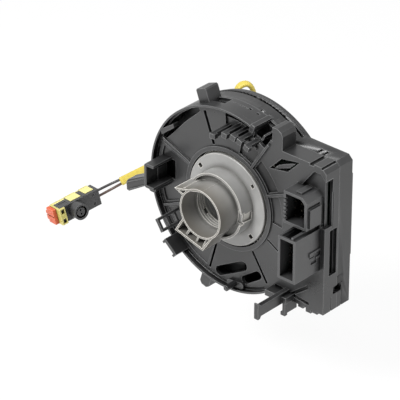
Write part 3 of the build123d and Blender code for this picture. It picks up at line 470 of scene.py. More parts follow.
# Guide fins: angle, outer radius, length
FINS = ((91.5, 49.8, 15.0), (82.0, 53.4, 14.0), (76.0, 54.3, 12.5), (71.3, 53.8, 11.5),
        (65.5, 52.6, 10.0))
POST_ANGLE = 110.7
FLAP_ANGLE = 229.3
TOOTH_ANGLE = 253.2
LADDER_ANGLE = 213.3
CHANNEL_R = 58.9
CHANNEL_EDGE = ((56.1, 114.8), (53.2, 131.2), (53.9, 150.0), (57.6, 160.4))
CHANNEL_ANGLES = (160.4, 150.0, 140.0, 131.0, 122.0, 114.8)

UPPER = dict(x=(53.5, 71.0), z=(9.8, 31.2), mouth=-10.0)
LOWER = dict(x=(58.2, 71.4), z=(-21.6, 7.0), mouth=-20.0)
SOCKET_WALL = 1.6
SOCKET_REAR = 6.5
SOCKET_GAP = 0.3


# Face cover

def box_outline(grow=0.0):
    """Outline of the connector box, with its upper right corner cut off."""
    right, top, low = BOX_RIGHT + grow, BOX_TOP + grow, BOX_BOTTOM - grow
    return [(BOX_LEFT, low), (right, low), (right, top - CORNER), (right - CORNER, top), (BOX_LEFT, top)]


def hollow_cuts():
    """The room behind the face plate and the hub's opening."""
    return [disc(0, 0, STATOR_R - WALL, PLATE_REAR, SEAM + 1, 120),
            prism(box_outline(-WALL), PLATE_REAR, SEAM + 1),
            disc(0, 0, LIP_INNER, -5, PLATE_REAR + 1, 96)]


def panel_cuts():
    """Sunken panels, the groove inside the rim and the deep channel at the upper left."""
    cuts = [sector(FIELD_R, outer, low, high, FACE_CUT, PLATE_FRONT + depth)
            for outer, low, high, depth in PANELS]
    cuts.append(sector(57.8, 59.6, 165, 300, FACE_CUT, PLATE_FRONT + 1.0))
    channel = [polar(*point) for point in CHANNEL_EDGE]
    channel += [polar(CHANNEL_R, angle) for angle in CHANNEL_ANGLES]
    cuts.append(prism(channel, FACE_CUT, PLATE_REAR + 0.5))
    return cuts


def slit_cuts():
    """Radial slits, the openings among the fins and behind the guide tower, and the bottom slots."""
    cuts = [block((FIELD_R, SLIT_END), THROUGH, (-width / 2, width / 2), angle)
            for angle, width in SLIT_WIDTHS.items()]
    cuts.append(sector(47.5, 57.2, 73.5, 93.5, *THROUGH))
    cuts.append(block((-53.3, -44.5), THROUGH, (-4.5, 8.9)))
    cuts.append(sector(52.0, 62.0, 58.0, 69.0, -2.5, 13.6))
    cuts.append(capsule((-7.5, -53.6), (11.5, -42.8), 6.4, *THROUGH))
    cuts.append(capsule((13.2, -51.8), (23.5, -44.6), 5.6, *THROUGH))
    return cuts


def box_cuts():
    """The step round the upper socket, both socket openings, and the grooves and windows in the sides."""
    step = ((57.0, 31.5), (62.0, 38.0), (66.0, 43.0), (71.0, 43.0), (77.0, 37.0), (77.0, 7.4),
            (71.3, 7.4), (71.3, 31.5))
    cuts = [prism(step, FACE_CUT, 9.0)]
    for socket in (UPPER, LOWER):
        x, z = [(low - SOCKET_GAP, high + SOCKET_GAP) for low, high in (socket["x"], socket["z"])]
        cuts.append(block(x, THROUGH, z))
    cuts.append(block(SIDE_CUT, (7.0, 13.5), (-26.5, 4.5)))
    cuts.append(block(SIDE_CUT, (11.0, SEAM + 0.5), SIDE_WINDOW_Z))
    cuts.append(block(SIDE_GROOVE, (9.2, 9.8), (BOX_BOTTOM - 1, -42.0)))
    cuts.append(block(SIDE_GROOVE, (9.2, 9.9), (5.4, 30.0)))
    cuts += [block(x, (FACE_CUT, SEAM + 0.5), (BOX_TOP - 1.3, BOX_TOP + 1))
             for x in ((62.5, 65.6), (71.2, 72.4))]
    cuts.append(capsule((38.0, -45.6), (63.0, -48.0), 2.2, FACE_CUT, PLATE_FRONT + 1.5))
    cuts.append(capsule((46.5, -49.5), (62.5, -37.0), 2.2, FACE_CUT, PLATE_FRONT + 1.5))
    return cuts


def rim_cuts():
    """Lines and small windows in the rim, the window with the tongue, and the post's pocket."""
    cuts = [sector(60.4, 62.0, 82.0, 105.0, 9.8, 10.4)]
    cuts += [block((59.8, 62.0), (10.4, 12.0), (-0.9, 0.9), angle) for angle in (81.8, 76.2)]
    window = ((31.6, 32.7), (40.9, 42.2), (54.8, 44.7), (45.7, 35.2))
    cuts.append(prism(window, *THROUGH))
    pocket = [polar(*point) for point in ((54.0, 96.7), (62.0, 96.7), (62.0, 106.8), (54.0, 106.8))]
    cuts.append(prism(pocket, 6.0, 12.9))
    return cuts


def fin_parts():
    """Ribs on the face, and the row of guide fins with its two curbs."""
    parts = [block((33.4, 57.5), (PLATE_FRONT - 1.3, PLATE_FRONT + 0.5), (-0.75, 0.75), angle)
             for angle in RIB_ANGLES]
    for angle, radius, length in FINS:
        tip = PLATE_FRONT - length
        parts.append(block((radius - 3.4, radius), (tip, PLATE_REAR), (-1.3, 1.3), angle))
        parts.append(block((radius - 3.3, radius - 0.1), (tip + 0.1, tip + 3.2), (-2.6, -1.2), angle))
    parts.append(sector(46.6, 48.4, 62.5, 95.0, PLATE_FRONT - 1.2, PLATE_REAR))
    parts.append(sector(48.0, 54.2, 63.0, 93.8, PLATE_REAR - 0.8, PLATE_REAR - 0.1))
    return parts


def rim_parts():
    """Walls beside the rim's window, the locating post, and the shoulder next to the box."""
    shoulder = ((33.5, 48.0), (33.5, 60.4), (36.8, 60.6), (40.0, 59.0), (41.4, 56.5), (41.4, 46.0),
                (36.0, 46.0))
    tab = [polar(*point) for point in ((60.4, 150.6), (56.2, 139.3), (54.0, 140.7), (58.2, 153.0))]
    return [block((57.5, 60.9), (RIM_FRONT, 12.2), (-1.6, 1.6), 70.0),
            block((60.3, 62.4), (RIM_FRONT + 0.1, SEAM), (-1.5, 1.5), 70.0),
            block((55.5, 59.5), (PLATE_FRONT, 12.2), (-0.6, 0.6), 62.4),
            block((56.0, 69.5), (4.0, SEAM), (-4.15, 4.15), POST_ANGLE, 0.8),
            prism(shoulder, PLATE_FRONT, SEAM),
            prism(tab, -1.0, PLATE_REAR)]


def lower_parts():
    """Guide flap with its two hooks, stop tooth, peg on its foot, the box's feet, and the tongue."""
    parts = [block((57.6, 59.6), (-9.0, PLATE_REAR), (-6.1, 6.1), FLAP_ANGLE)]
    parts += [block((57.7, 61.2), (-9.1, -7.4), (side - 0.8, side + 0.8), FLAP_ANGLE)
              for side in (-5.2, 5.2)]
    parts.append(block((57.0, 73.0), (3.0, 11.0), (-3.75, 3.75), TOOTH_ANGLE, 1.8))
    parts.append(disc(6.8, -55.9, 1.9, -7.9, PLATE_REAR, 20))
    parts.append(disc(6.8, -55.9, 1.2, -8.6, -7.0, 20))
    parts.append(capsule((2.3, -57.1), (11.3, -56.1), 4.2, 0.4, PLATE_REAR))
    parts += [block((x, x + 4.0), (PLATE_FRONT, 9.0), (BOX_BOTTOM - drop, BOX_BOTTOM + 1.0))
              for x, drop in ((55.5, 1.6), (61.5, 2.6), (66.5, 1.4))]
    tongue = ((34.6, 33.0), (38.4, 37.0), (48.2, 41.4), (50.6, 41.8), (46.6, 37.8))
    parts.append(prism(tongue, PLATE_REAR - 1.4, PLATE_REAR + 0.3))
    return parts


def ladder_parts():
    """Snap arm with two open windows that reaches towards the column."""
    tip, half, rail = -17.4, 3.6, 0.9
    rails = [block((46.0, 48.0), (tip, PLATE_REAR), (side - rail, side + rail), LADDER_ANGLE)
             for side in (-half, half)]
    rungs = [block((46.1, 47.9), (y, y + 2 * rail), (-half - 0.1, half + 0.1), LADDER_ANGLE)
             for y in (tip, -10.4, -3.4)]
    return rails + rungs


def latch_parts():
    """Latch arm at the lower right with a flared end, and its hooked guide block."""
    low, high, width = 45.4, 48.6, 3.2
    # The flare's outline is in Y and Z: it is drawn in X and Z and then turned
    flare = ((-26.0, -52.8), (-24.2, -52.6), (-23.2, -51.0), (-23.2, -44.0), (-24.4, -42.6),
             (-26.0, -41.8))
    arm = prism(flare, 0, width)
    arm.data.transform(Matrix.Rotation(radians(90), 4, "Z"))
    arm.data.transform(Matrix.Translation((high * MM, 0, 0)))
    return [arm, block((low, high), (-24.0, PLATE_REAR), (-51.0, -44.0)),
            block((35.5, 52.0), (-5.0, PLATE_REAR), (-50.0, -46.0)),
            block((49.5, 51.5), (-5.0, 6.0), (-57.0, -46.1)),
            block((48.0, 51.4), (-4.9, -2.6), (-58.6, -56.4))]


def tower_parts():
    """Guide channel on the left, open towards the column and the hub, with a slanted tongue below."""
    channel = ((-55.0, -5.0), (-53.8, -6.2), (-47.5, -6.2), (-47.5, -4.5), (-53.3, -4.5), (-53.3, 8.9),
               (-47.5, 8.9), (-47.5, 10.6), (-53.8, 10.6), (-55.0, 9.4))
    tongue = ((-54.2, 0.6), (-72.6, -9.2), (-73.8, -11.4), (-73.4, -16.6), (-71.5, -16.9), (-54.2, -6.1))
    upper_ridge = ((-55.0, -0.4), (-72.4, -10.2), (-72.4, -11.0), (-55.0, -1.5))
    lower_ridge = ((-56.0, -6.1), (-71.4, -15.3), (-71.4, -16.1), (-56.0, -7.0))
    ridge = (-10.5, -9.5)
    return [prism(channel, -13.5, PLATE_REAR), prism(tongue, -9.6, -1.5), prism(upper_ridge, *ridge),
            prism(lower_ridge, *ridge), capsule((-51.6, -7.4), (-49.8, -7.4), 3.6, -11.0, PLATE_REAR),
            block((-58.0, -53.0), (-3.4, PLATE_REAR), (-6.0, 3.6))]


def make_cover():
    """Moulded face cover: a cup with a box beside it, then its cuts, then what stands on it."""
    cover = disc(0, 0, STATOR_R, PLATE_FRONT, SEAM, 144)
    box = prism(box_outline(), PLATE_FRONT, SEAM)
    rim = sector(59.8, STATOR_R - 0.02, 62.0, 309.0, RIM_FRONT, PLATE_FRONT + FUSE)
    lip = lathe("lip", [(LIP_INNER - 0.1, LIP_FRONT), (LIP_OUTER, LIP_FRONT),
                        (LIP_OUTER, PLATE_FRONT + FUSE), (LIP_INNER - 0.1, PLATE_FRONT + FUSE)])
    fuse(cover, [box, rim, lip])
    cut(cover, hollow_cuts() + panel_cuts() + slit_cuts() + box_cuts() + rim_cuts())
    fuse(cover, fin_parts() + rim_parts() + lower_parts() + ladder_parts() + latch_parts()
         + tower_parts())
    stand_for(cover, "face_cover", "front_cover", "stator", BLACK)


# Rear case

def make_case():
    """The rear case with the dark gap in front of the rotor's rim, and one window in its side."""
    inner, outer, front, rear = 58.6, 61.6, 22.9, 24.9
    case = copy_of("rear_case", "case")
    gap = lathe("gap", [(inner, front), (outer, front), (outer, rear), (inner, rear)], 144)
    beside_box = ((30.0, -56.0), (80.0, -56.0), (80.0, 47.0), (34.0, 47.0), (34.0, 20.0), (40.0, -30.0))
    cut(gap, [prism(beside_box, 22.0, 26.0)])
    window = block((BOX_RIGHT - 2.8, BOX_RIGHT + 1), (SEAM - 0.5, 19.0), SIDE_WINDOW_Z)
    cut(case, [gap, window])
    stand_for(case, "back_case", "rear_case", "stator", CASE_BLACK)


# Connector block

def socket_outline(socket, trim, inset):
    """A socket's outline, set in from its outside, with one corner trimmed."""
    (left, right), (low, high) = socket["x"], socket["z"]
    left, right, low, high = left + inset, right - inset, low + inset, high - inset
    if not trim:
        return [(left, low), (right, low), (right, high), (left, high)]
    corner = trim - 0.35 * inset
    return [(left, low), (right, low), (right, high - corner), (right - corner, high), (left, high)]


def socket_shell(socket, trim):
    """A socket's walls, with a floor at the rear."""
    mouth = socket["mouth"]
    shell = prism(socket_outline(socket, trim, 0.0), mouth, SOCKET_REAR)
    return cut(shell, [prism(socket_outline(socket, trim, SOCKET_WALL), mouth - 1, 4.2)])


def upper_socket():
    """Upper socket with its row of teeth, and the key ridge and pad that stand on it."""
    (left, right), (low, high), mouth = UPPER["x"], UPPER["z"], UPPER["mouth"]
    shell = socket_shell(UPPER, 3.2)
    first, pitch, tooth = low + 2.6, 2.6, 1.3
    cuts = [block((left - 0.5, left + 1.8), (mouth - 1, mouth + 1.2),
                  (first + pitch * k, first + tooth + pitch * k)) for k in range(6)]
    cuts.append(block((right - 0.8, right + 0.5), (mouth + 1.5, 2.0), (low + 13.9, low + 15.4)))
    cut(shell, cuts)
    ridge = block((left + 7.5, left + 11.5), (mouth + 2.5, 2.0), (high - 0.3, high + 1.3))
    pad = block((right - 0.2, right + 1.3), (mouth + 2.2, 2.0), (low + 1.0, low + 13.6))
    return shell, [ridge, pad]


def lower_socket():
    """Lower socket with its pockets, and the bar and rails that stand on it."""
    (left, right), (low, high), mouth = LOWER["x"], LOWER["z"], LOWER["mouth"]
    shell = socket_shell(LOWER, 0.0)
    dent = (right - 0.8, right + 0.5)
    rail = (right - 0.2, right + 0.8)
    cut(shell, [block(dent, (-7.0, -3.0), (-10.2, -8.7)), block(dent, (-5.5, -0.5), (-14.6, -12.4)),
                block((left + 1.4, right - 4.4), (mouth + 1.4, -3.5), (high - 2.0, high + 0.5))])
    bar = block((right - 3.6, right - 2.2), (mouth + 0.6, 2.0), (high - 0.2, high + 1.7))
    return shell, [bar, block(rail, (-7.5, 2.0), (-7.0, -5.9)), block(rail, (-7.5, -4.5), (-8.6, -7.1)),
                   block(rail, (-1.5, 2.0), (-11.6, -10.4))]


def make_connector():
    """Both sockets on one base behind the face plate, with a web between them."""
    outline = ((55.8, -26.0), (72.6, -26.0), (72.6, 38.0), (68.0, 43.5), (60.0, 43.5), (52.4, 33.0),
               (52.4, 8.0), (55.8, 8.0))
    base = prism(outline, 4.8, 7.0)
    upper, on_upper = upper_socket()
    lower, on_lower = lower_socket()
    web = block((61.0, 69.0), (-3.0, 2.0), (LOWER["z"][1] - 0.2, UPPER["z"][0] + 0.2))
    fuse(base, [upper, lower, web] + on_upper + on_lower)
    stand_for(base, "socket_block", "connector_block", "stator", SOCKET_BLACK)


# Hub

HUB_MOUTH = -23.8
DRUM_RIM = -10.4
DRUM_LEDGE = -8.2
DRUM_R = 21.3
FLANGE_REAR = 2.5
FLANGE_R = 30.0
TUBE_R = 16.3
TUBE_INNER_R = 15.1
BORE_R = 13.2
BORE_FRONT = DRUM_LEDGE - 3.3
BORE_REAR = DRUM_LEDGE + 3.2
BEHIND_R = 19.5
SLEEVE_OUTER_R = 26.5
SLEEVE_INNER_R = 24.5
SLEEVE_REAR = 26.9
GEAR_SEAT = (28.2, 5.2)
NOTCH_ANGLE = -5.0
BORE_WINDOW_ANGLE = 220.0
HOLE_RING_R = 26.5
# Square holes in the flange: angle, size
HUB_HOLES = ((143.0, 2.9), (39.5, 2.4), (-42.5, 2.8), (224.0, 2.8))
# Open walls of both cancelling lobes, and the ribs behind them
UPPER_LOBE = ((1.6, 16.25), (-20.6, 10.6), (-13.6, 7.4), (-13.2, 8.8), (-17.2, 10.2), (0.6, 15.4))
LOWER_LOBE = ((-14.2, -8.2), (-20.2, -18.3), (2.2, -24.4), (9.6, -13.4), (8.3, -13.3), (1.6, -22.8),
              (-18.2, -17.4), (-13.0, -8.8))
LOBE_RIBS = (((-2.2, -15.0), (-1.1, -15.0), (-4.3, -22.6), (-5.5, -22.3)),
             ((4.2, -14.6), (5.4, -14.2), (1.6, -23.0), (0.3, -23.2)),
             ((-9.0, -12.6), (-8.0, -13.6), (-12.3, -20.4), (-13.5, -20.0)),
             ((-12.3, 9.2), (-11.3, 10.2), (-13.3, 12.8), (-14.5, 12.4)))


def hub_turning():
    """Mouth tube, drum, flange, rear sleeve and bore, in one turned shape."""
    seat_r, seat_rear = GEAR_SEAT
    return lathe("hub", [
        (TUBE_INNER_R, HUB_MOUTH), (TUBE_R, HUB_MOUTH), (TUBE_R, DRUM_LEDGE), (DRUM_R - 1.4, DRUM_LEDGE),
        (DRUM_R - 1.4, DRUM_RIM), (DRUM_R, DRUM_RIM), (DRUM_R, 0), (FLANGE_R - 0.4, 0), (FLANGE_R, 0.4),
        (FLANGE_R, FLANGE_REAR), (seat_r, FLANGE_REAR), (seat_r, seat_rear), (SLEEVE_OUTER_R, seat_rear),
        (SLEEVE_OUTER_R, SLEEVE_REAR), (SLEEVE_INNER_R, SLEEVE_REAR), (SLEEVE_INNER_R, FLANGE_REAR),
        (BEHIND_R, FLANGE_REAR), (BEHIND_R, BORE_REAR - 1.6), (TUBE_INNER_R + 0.3, BORE_REAR - 1.6),
        (TUBE_INNER_R + 0.3, BORE_REAR), (BORE_R, BORE_REAR), (BORE_R, BORE_FRONT),
        (TUBE_INNER_R, BORE_FRONT)])


def hub_cuts():
    """Flange holes, the notch in the drum, and the bore's window and grooves."""
    cuts = [block((HOLE_RING_R - size / 2, HOLE_RING_R + size / 2), (-1, FLANGE_REAR + 1.6),
                  (-size / 2, size / 2), angle) for angle, size in HUB_HOLES]
    cuts.append(block((16.9, 22.5), (DRUM_RIM - 1, DRUM_LEDGE + 0.6), (-4.2, 4.2), NOTCH_ANGLE))
    cuts.append(block((DRUM_R - 1.7, 22.5), (DRUM_RIM - 1, -1.2), (-3.0, 3.0), NOTCH_ANGLE))
    cuts.append(block((12.2, 14.8), (BORE_REAR - 3.4, BORE_REAR - 0.8), (-1.7, 1.7), BORE_WINDOW_ANGLE))
    low, high, width = BORE_R - 1.2, BORE_R + 0.45, 0.7
    for front in (BORE_FRONT + 1.2, BORE_FRONT + 3.1, BORE_FRONT + 5.0):
        cuts.append(lathe("groove", [(low, front), (high, front), (high, front + width),
                                     (low, front + width)], 96))
    return cuts


def make_hub():
    """Grey hub with both cancelling lobes and the ribs that hold their walls."""
    hub = hub_turning()
    lobes = [prism(points, HUB_MOUTH, DRUM_LEDGE) for points in (UPPER_LOBE, LOWER_LOBE)]
    ribs = [prism(points, HUB_MOUTH + 1.5, DRUM_LEDGE) for points in LOBE_RIBS]
    for rib in ribs:
        cut(rib, [disc(0, 0, TUBE_INNER_R + 0.3, HUB_MOUTH - 1, DRUM_LEDGE + 1, 96)])
    fuse(hub, lobes + ribs)
    cut(hub, hub_cuts())
    stand_for(hub, "cancelling_hub", "cancel_cam", "rotor", GREY)


# Air-bag plugs, in each plug's own frame: origin at its wire end, X along the barrel, body along -Z

SIDES = (-1, 1)
BARREL_Z = -18.7
LEG_Y = 3.2


def plug_axes(lead):
    """A plug's directions: along its body, out of its barrel, and to its side."""
    along = Vector(lead["along"]).normalized()
    barrel = Vector(lead["barrel"])
    barrel = (barrel - along * barrel.dot(along)).normalized()
    return along, barrel, (-along).cross(barrel)


def plug_matrix(lead):
    """Where a plug's own frame lies."""
    along, barrel, side = plug_axes(lead)
    turn = Matrix((barrel, side, -along)).transposed().to_4x4()
    return Matrix.Translation(Vector(lead["rear"]) * MM) @ turn


def barrel_disc(x0, x1, radius, y=0.0, sides=40):
    """A short cylinder along the plug's X, at the barrel's height."""
    piece = disc(0, 0, radius, x0, x1, sides)
    piece.data.transform(Matrix.Rotation(radians(-90), 4, "Z"))
    piece.data.transform(Matrix.Translation((0, y * MM, BARREL_Z * MM)))
    return piece


def pair(x, middle, half, z):
    """Two equal boxes, one on each side of the plug."""
    return [block(x, (side * middle - half, side * middle + half), z) for side in SIDES]


def plug_body():
    """Black body with its collar, rib, side plate and barrel with two contact holes."""
    body = block((-4.5, 4.5), (-5.55, 5.55), (-29.8, 0))
    fuse(body, [block((-4.7, 4.5), (-5.6, 5.6), (-2.2, 0.0)),
                block((-3.2, 4.4), (-5.8, 5.8), (-11.4, -9.8)),
                block((-2.5, 3.7), (-5.7, -5.0), (-29.3, -20.7)), barrel_disc(4.0, 11.5, 5.3)])
    cut(body, [barrel_disc(6.0, 12.5, 4.1), block((-1.2, 2.4), (-7.5, -5.4), (-28.0, -22.0))])
    fuse(body, [barrel_disc(5.5, 10.9, 2.9)])
    cut(body, [barrel_disc(8.0, 12.5, 0.75, side * 1.35, 16) for side in SIDES]
        + pair((4.0, 5.2), 3, 0.9, (-5.5, -3.7)))
    return body


def plug_cover():
    """Pale cover: end plate with a latch frame of two windows, back plate, and two side plates."""
    cover = block((-5.7, 5.1), (-5.6, 5.6), (-31.0, -29.8))
    fuse(cover, [block((4.6, 6.2), (-5.6, 5.6), (-30.95, -26.8)),
                 block((-5.7, -4.5), (-5.4, 4.9), (-30.6, -2.5)),
                 block((-5.6, -3.4), (-5.7, -5.4), (-30.6, -20.8)),
                 block((-5.6, 2.6), (-5.85, -5.4), (-8.8, -2.4)),
                 block((-5.6, 2.6), (-5.85, -5.4), (-20.0, -12.2))])
    cut(cover, pair((4.0, 7.0), 3.3, 1.6, (-29.9, -27.5)))
    return cover


def plug_lock():
    """Orange lock: plate with a thumb rest and a slit, and two legs that run in the plug."""
    lock = block((-5.5, 2.0), (-5.2, 5.2), (-33.7, -31.3))
    fuse(lock, pair((-2.6, -1.2), LEG_Y, 0.8, (-31.8, -25.6)))
    fuse(lock, [block((-7.4, -5.0), (-2.4, 3.6), (-33.6, -31.4))])
    cut(lock, [block((-9.0, 3.0), (-0.5, 0.5), (-34.5, -33.1))])
    return lock


def make_plug(number, lead):
    """One plug's body, cover and lock, in their place."""
    place = plug_matrix(lead)
    body, cover = plug_body(), plug_cover()
    for shell in (body, cover):
        cut(shell, pair((-2.9, -0.9), LEG_Y, 1.1, (-31.5, -25.0)))
    pieces = []
    for piece, name, node, rider, material, slot in (
            (body, "air_bag_plug", "plug_body", "rotor", SOCKET_BLACK, "black_plastic"),
            (cover, "air_bag_plug_cover", "plug_cover", "rotor", LEMON, "pale_plastic"),
            (plug_lock(), "air_bag_plug_lock", "plug_lock", f"lock_{number}", ORANGE, "orange_plastic")):
        piece.data.transform(place)
        stand_for(piece, f"{name}_{number}", f"{node}_{number}", rider, material)
        pieces.append(piece)
    return pieces


make_cover()
make_case()
make_connector()
make_hub()


# Air-bag leads, in each lead's own plane. Lead 1 has the solids' route points. Those of lead
# 2's arch are moved by up to 3 mm, to match the photo.

WIRE_D = 0.0017
WIRE_PITCH = 2.3
PLUG_PITCH = 4.0
WIRE_END_RUN = 9.0
WIRE_HOLE = 1.2
SLEEVE_W = 5.6
SLEEVE_T = 3.0
SLEEVE_WALL = 0.35
SLEEVE_SIDES = 20
NEAR = 0.0003
# Points lie along run and rise. The wires enter the plug at rear, and its body points the way of along.
LEADS = (
    dict(origin=(-49.0, 0.0, 8.6), run=(-0.79, 0.0, -0.613), rise=(0.0, 1.0, 0.0),
         points=((0.0, 36.0), (22.0, 36.5), (44.0, 36.0), (64.0, 34.2), (80.5, 30.2)),
         rear=(-123.3, 14.0, -49.1), along=(-0.2, -0.965, -0.16), barrel=(0.965, -0.227, 0.135),
         sleeve=0.084),
    dict(origin=(-27.0, 35.0, 0.0), run=(0.5, 0.866, 0.0), rise=(0.0, 0.0, 1.0),
         points=((0.0, 30.0), (1.2, 41.0), (2.4, 49.6), (5.4, 54.2), (10.4, 54.2), (13.4, 49.6),
                 (14.6, 41.5), (14.9, 31.5)),
         rear=(-20.3, 46.7, 19.0), along=(0.15, -0.1, -0.98), barrel=(-1.0, 0.1, -0.15), sleeve=0.056),
)


def lead_normal(lead):
    """The direction square to a lead's own plane."""
    return Vector(lead["run"]).cross(Vector(lead["rise"])).normalized()


def lead_route(lead, side=0):
    """A lead's route in metres, from its clamp to its plug: side 0 is the middle."""
    run, rise = Vector(lead["run"]), Vector(lead["rise"])
    beside = lead_normal(lead) * side * WIRE_PITCH / 2
    points = [Vector(lead["origin"]) + run * p + rise * q + beside for p, q in lead["points"]]
    along, _, aside = plug_axes(lead)
    towards = aside * side * PLUG_PITCH / 2
    if towards.dot(beside) < 0:
        towards = -towards
    entry = Vector(lead["rear"]) + towards
    points += [entry - along * WIRE_END_RUN, entry + along * WIRE_HOLE]
    return [point * MM for point in points]


def route_curve(name, points, radius=0.0):
    """A smooth cord whose control points are the route's."""
    data = bpy.data.curves.new(name, "CURVE")
    data.dimensions = "3D"
    data.resolution_u = 24
    data.bevel_depth = radius
    data.bevel_resolution = 5
    data.use_fill_caps = radius > 0
    spline = data.splines.new("NURBS")
    spline.points.add(len(points) - 1)
    for point, place in zip(spline.points, points):
        point.co = (*place, 1)
    spline.order_u = 3
    spline.use_endpoint_u = True
    piece = bpy.data.objects.new(name, data)
    bpy.context.scene.collection.objects.link(piece)
    return piece


def line_of(name, points):
    """Points along a route's smooth line."""
    guide = route_curve(name, points)
    mesh = bpy.data.meshes.new_from_object(guide.evaluated_get(bpy.context.evaluated_depsgraph_get()))
    line = [vertex.co.copy() for vertex in mesh.vertices]
    bpy.data.objects.remove(guide)
    bpy.data.meshes.remove(mesh)
    return line


def cut_line(line, length):
    """The first stretch of a line, of a given length."""
    kept = [line[0]]
    for a, b in zip(line, line[1:]):
        step = (b - a).length
        if step >= length:
            end = a + (b - a) * (length / step)
            if (end - kept[-1]).length < NEAR and len(kept) > 1:
                kept.pop()
            return kept + [end]
        length -= step
        kept.append(b)
    return kept


def line_length(line):
    """How long a line is."""
    return sum((b - a).length for a, b in zip(line, line[1:]))


def flat_tube(name, line, beside, width, thick, wall):
    """A flattened sleeve round a line: an open shell with a rounded section."""
    bm = bmesh.new()
    around = SLEEVE_SIDES
    loops = []
    for shell, flip in ((0.0, 1), (wall, -1)):
        rings = []
        for index, place in enumerate(line):
            ahead = line[min(index + 1, len(line) - 1)] - line[max(index - 1, 0)]
            across = (beside - ahead * (beside.dot(ahead) / ahead.length_squared)).normalized()
            over = ahead.normalized().cross(across)
            pinch = 1 + 0.05 * sin(index * 0.9) + 0.03 * sin(index * 2.3)
            ring = []
            for k in range(around):
                turn = 2 * pi * k / around
                c, s = cos(turn), sin(turn)
                w = (width / 2 - shell) * abs(c) ** 0.75 * (1 if c > 0 else -1)
                t = (thick / 2 - shell) * abs(s) ** 0.8 * (1 if s > 0 else -1) * pinch
                ring.append(bm.verts.new(place + across * w + over * t))
            rings.append(ring)
        loops.append(rings)
        for first, second in zip(rings, rings[1:]):
            for k in range(around):
                quad = (first[k], first[(k + 1) % around], second[(k + 1) % around], second[k])
                bm.faces.new(quad if flip > 0 else quad[::-1])
    for end in (0, -1):
        outer, inner = loops[0][end], loops[1][end]
        for k in range(around):
            quad = (outer[k], inner[k], inner[(k + 1) % around], outer[(k + 1) % around])
            bm.faces.new(quad if end == 0 else quad[::-1])
    bmesh.ops.recalc_face_normals(bm, faces=bm.faces)
    mesh = bpy.data.meshes.new(name)
    bm.to_mesh(mesh)
    bm.free()
    for polygon in mesh.polygons:
        polygon.use_smooth = True
    piece = bpy.data.objects.new(name, mesh)
    bpy.context.scene.collection.objects.link(piece)
    return piece


def make_lead(number, lead):
    """One lead: its sleeve, its plug and its two wires."""
    line = cut_line(line_of(f"guide_{number}", lead_route(lead)), lead["sleeve"])
    sleeve = flat_tube(f"air_bag_sleeve_{number}", line, lead_normal(lead), SLEEVE_W * MM, SLEEVE_T * MM,
                       SLEEVE_WALL * MM)
    set_material(sleeve, SLEEVE)
    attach(sleeve, "rotor")
    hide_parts(f"lead_sleeve_{number}")
    plugs = make_plug(number, lead)
    for side, colour, material in ((-1, "dark", DARK_WIRE), (1, "brown", BROWN_WIRE)):
        points = lead_route(lead, side)
        length = line_length(line_of("measure", points))
        wire = route_curve(f"air_bag_{colour}_wire_{number}", points, WIRE_D / 2)
        set_material(wire, material)
        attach(wire, "rotor")
        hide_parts(f"lead_{colour}_wire_{number}")


for index, lead in enumerate(LEADS):
    make_lead(index + 1, lead)


# Floor, light and world

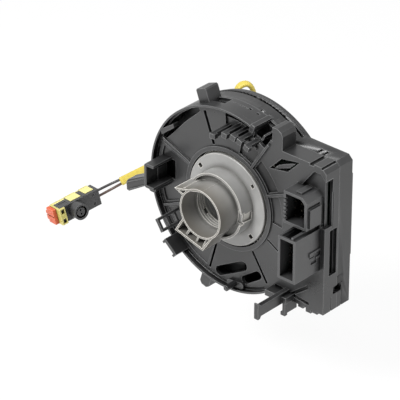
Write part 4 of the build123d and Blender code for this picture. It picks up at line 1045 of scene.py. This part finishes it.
def make_floor():
    """White floor that the camera sees at one even brightness."""
    bpy.ops.mesh.primitive_plane_add(size=8.0, location=(0, 0, CAD_BOX[0][2] - FLOOR_GAP))
    floor = bpy.context.object
    floor.name = "floor"
    material, nodes, links = new_material("floor_white")
    out = nodes.new("ShaderNodeOutputMaterial")
    shader = nodes.new("ShaderNodeBsdfPrincipled")
    shader.inputs["Base Color"].default_value = (0.9, 0.9, 0.9, 1)
    shader.inputs["Roughness"].default_value = 0.9
    plain = nodes.new("ShaderNodeEmission")
    plain.inputs["Color"].default_value = (1, 1, 1, 1)
    rays = nodes.new("ShaderNodeLightPath")
    share = nodes.new("ShaderNodeMath")
    share.operation = "MULTIPLY"
    share.inputs[1].default_value = FLOOR_WHITE
    links.new(rays.outputs["Is Camera Ray"], share.inputs[0])
    blend = nodes.new("ShaderNodeMixShader")
    links.new(share.outputs[0], blend.inputs["Fac"])
    links.new(shader.outputs["BSDF"], blend.inputs[1])
    links.new(plain.outputs["Emission"], blend.inputs[2])
    links.new(blend.outputs["Shader"], out.inputs["Surface"])
    set_material(floor, material)


def make_world():
    """White surroundings: full strength to the camera, and less as a source of light."""
    world = bpy.data.worlds.new("world")
    bpy.context.scene.world = world
    world.use_nodes = True
    nodes, links = world.node_tree.nodes, world.node_tree.links
    sky = nodes["Background"]
    sky.inputs["Color"].default_value = (1, 1, 1, 1)
    rays = nodes.new("ShaderNodeLightPath")
    shown = nodes.new("ShaderNodeMath")
    shown.operation = "MAXIMUM"
    links.new(rays.outputs["Is Camera Ray"], shown.inputs[0])
    links.new(rays.outputs["Is Transmission Ray"], shown.inputs[1])
    mirrored = nodes.new("ShaderNodeMath")
    mirrored.operation = "MULTIPLY_ADD"
    mirrored.inputs[1].default_value = WORLD_GLOSS - WORLD_LIGHT
    mirrored.inputs[2].default_value = WORLD_LIGHT
    links.new(rays.outputs["Is Glossy Ray"], mirrored.inputs[0])
    strength = nodes.new("ShaderNodeMath")
    strength.operation = "MAXIMUM"
    links.new(shown.outputs[0], strength.inputs[0])
    links.new(mirrored.outputs[0], strength.inputs[1])
    links.new(strength.outputs[0], sky.inputs["Strength"])


def make_lamp(name, azimuth, elevation, distance, size, watts):
    """A soft square lamp that faces the middle of the object."""
    a, e = radians(azimuth), radians(elevation)
    back = Vector((sin(a) * cos(e), -cos(a) * cos(e), sin(e)))
    data = bpy.data.lights.new(name, "AREA")
    data.shape = "RECTANGLE"
    data.size, data.size_y = size
    data.energy = watts
    lamp = bpy.data.objects.new(name, data)
    lamp.location = back * distance
    lamp.rotation_euler = back.to_track_quat("Z", "Y").to_euler()
    bpy.context.scene.collection.objects.link(lamp)


FLOOR_GAP = 0.05
FLOOR_WHITE = 0.88
WORLD_LIGHT = 0.30
WORLD_GLOSS = 0.9
make_floor()
make_world()
make_lamp("key", -15, 48, 1.2, (0.6, 0.4), 17)
make_lamp("side", 105, 30, 1.3, (0.5, 0.7), 5)
make_lamp("top", 60, 85, 1.0, (0.6, 0.6), 5)
bpy.context.scene.view_settings.view_transform = "Standard"
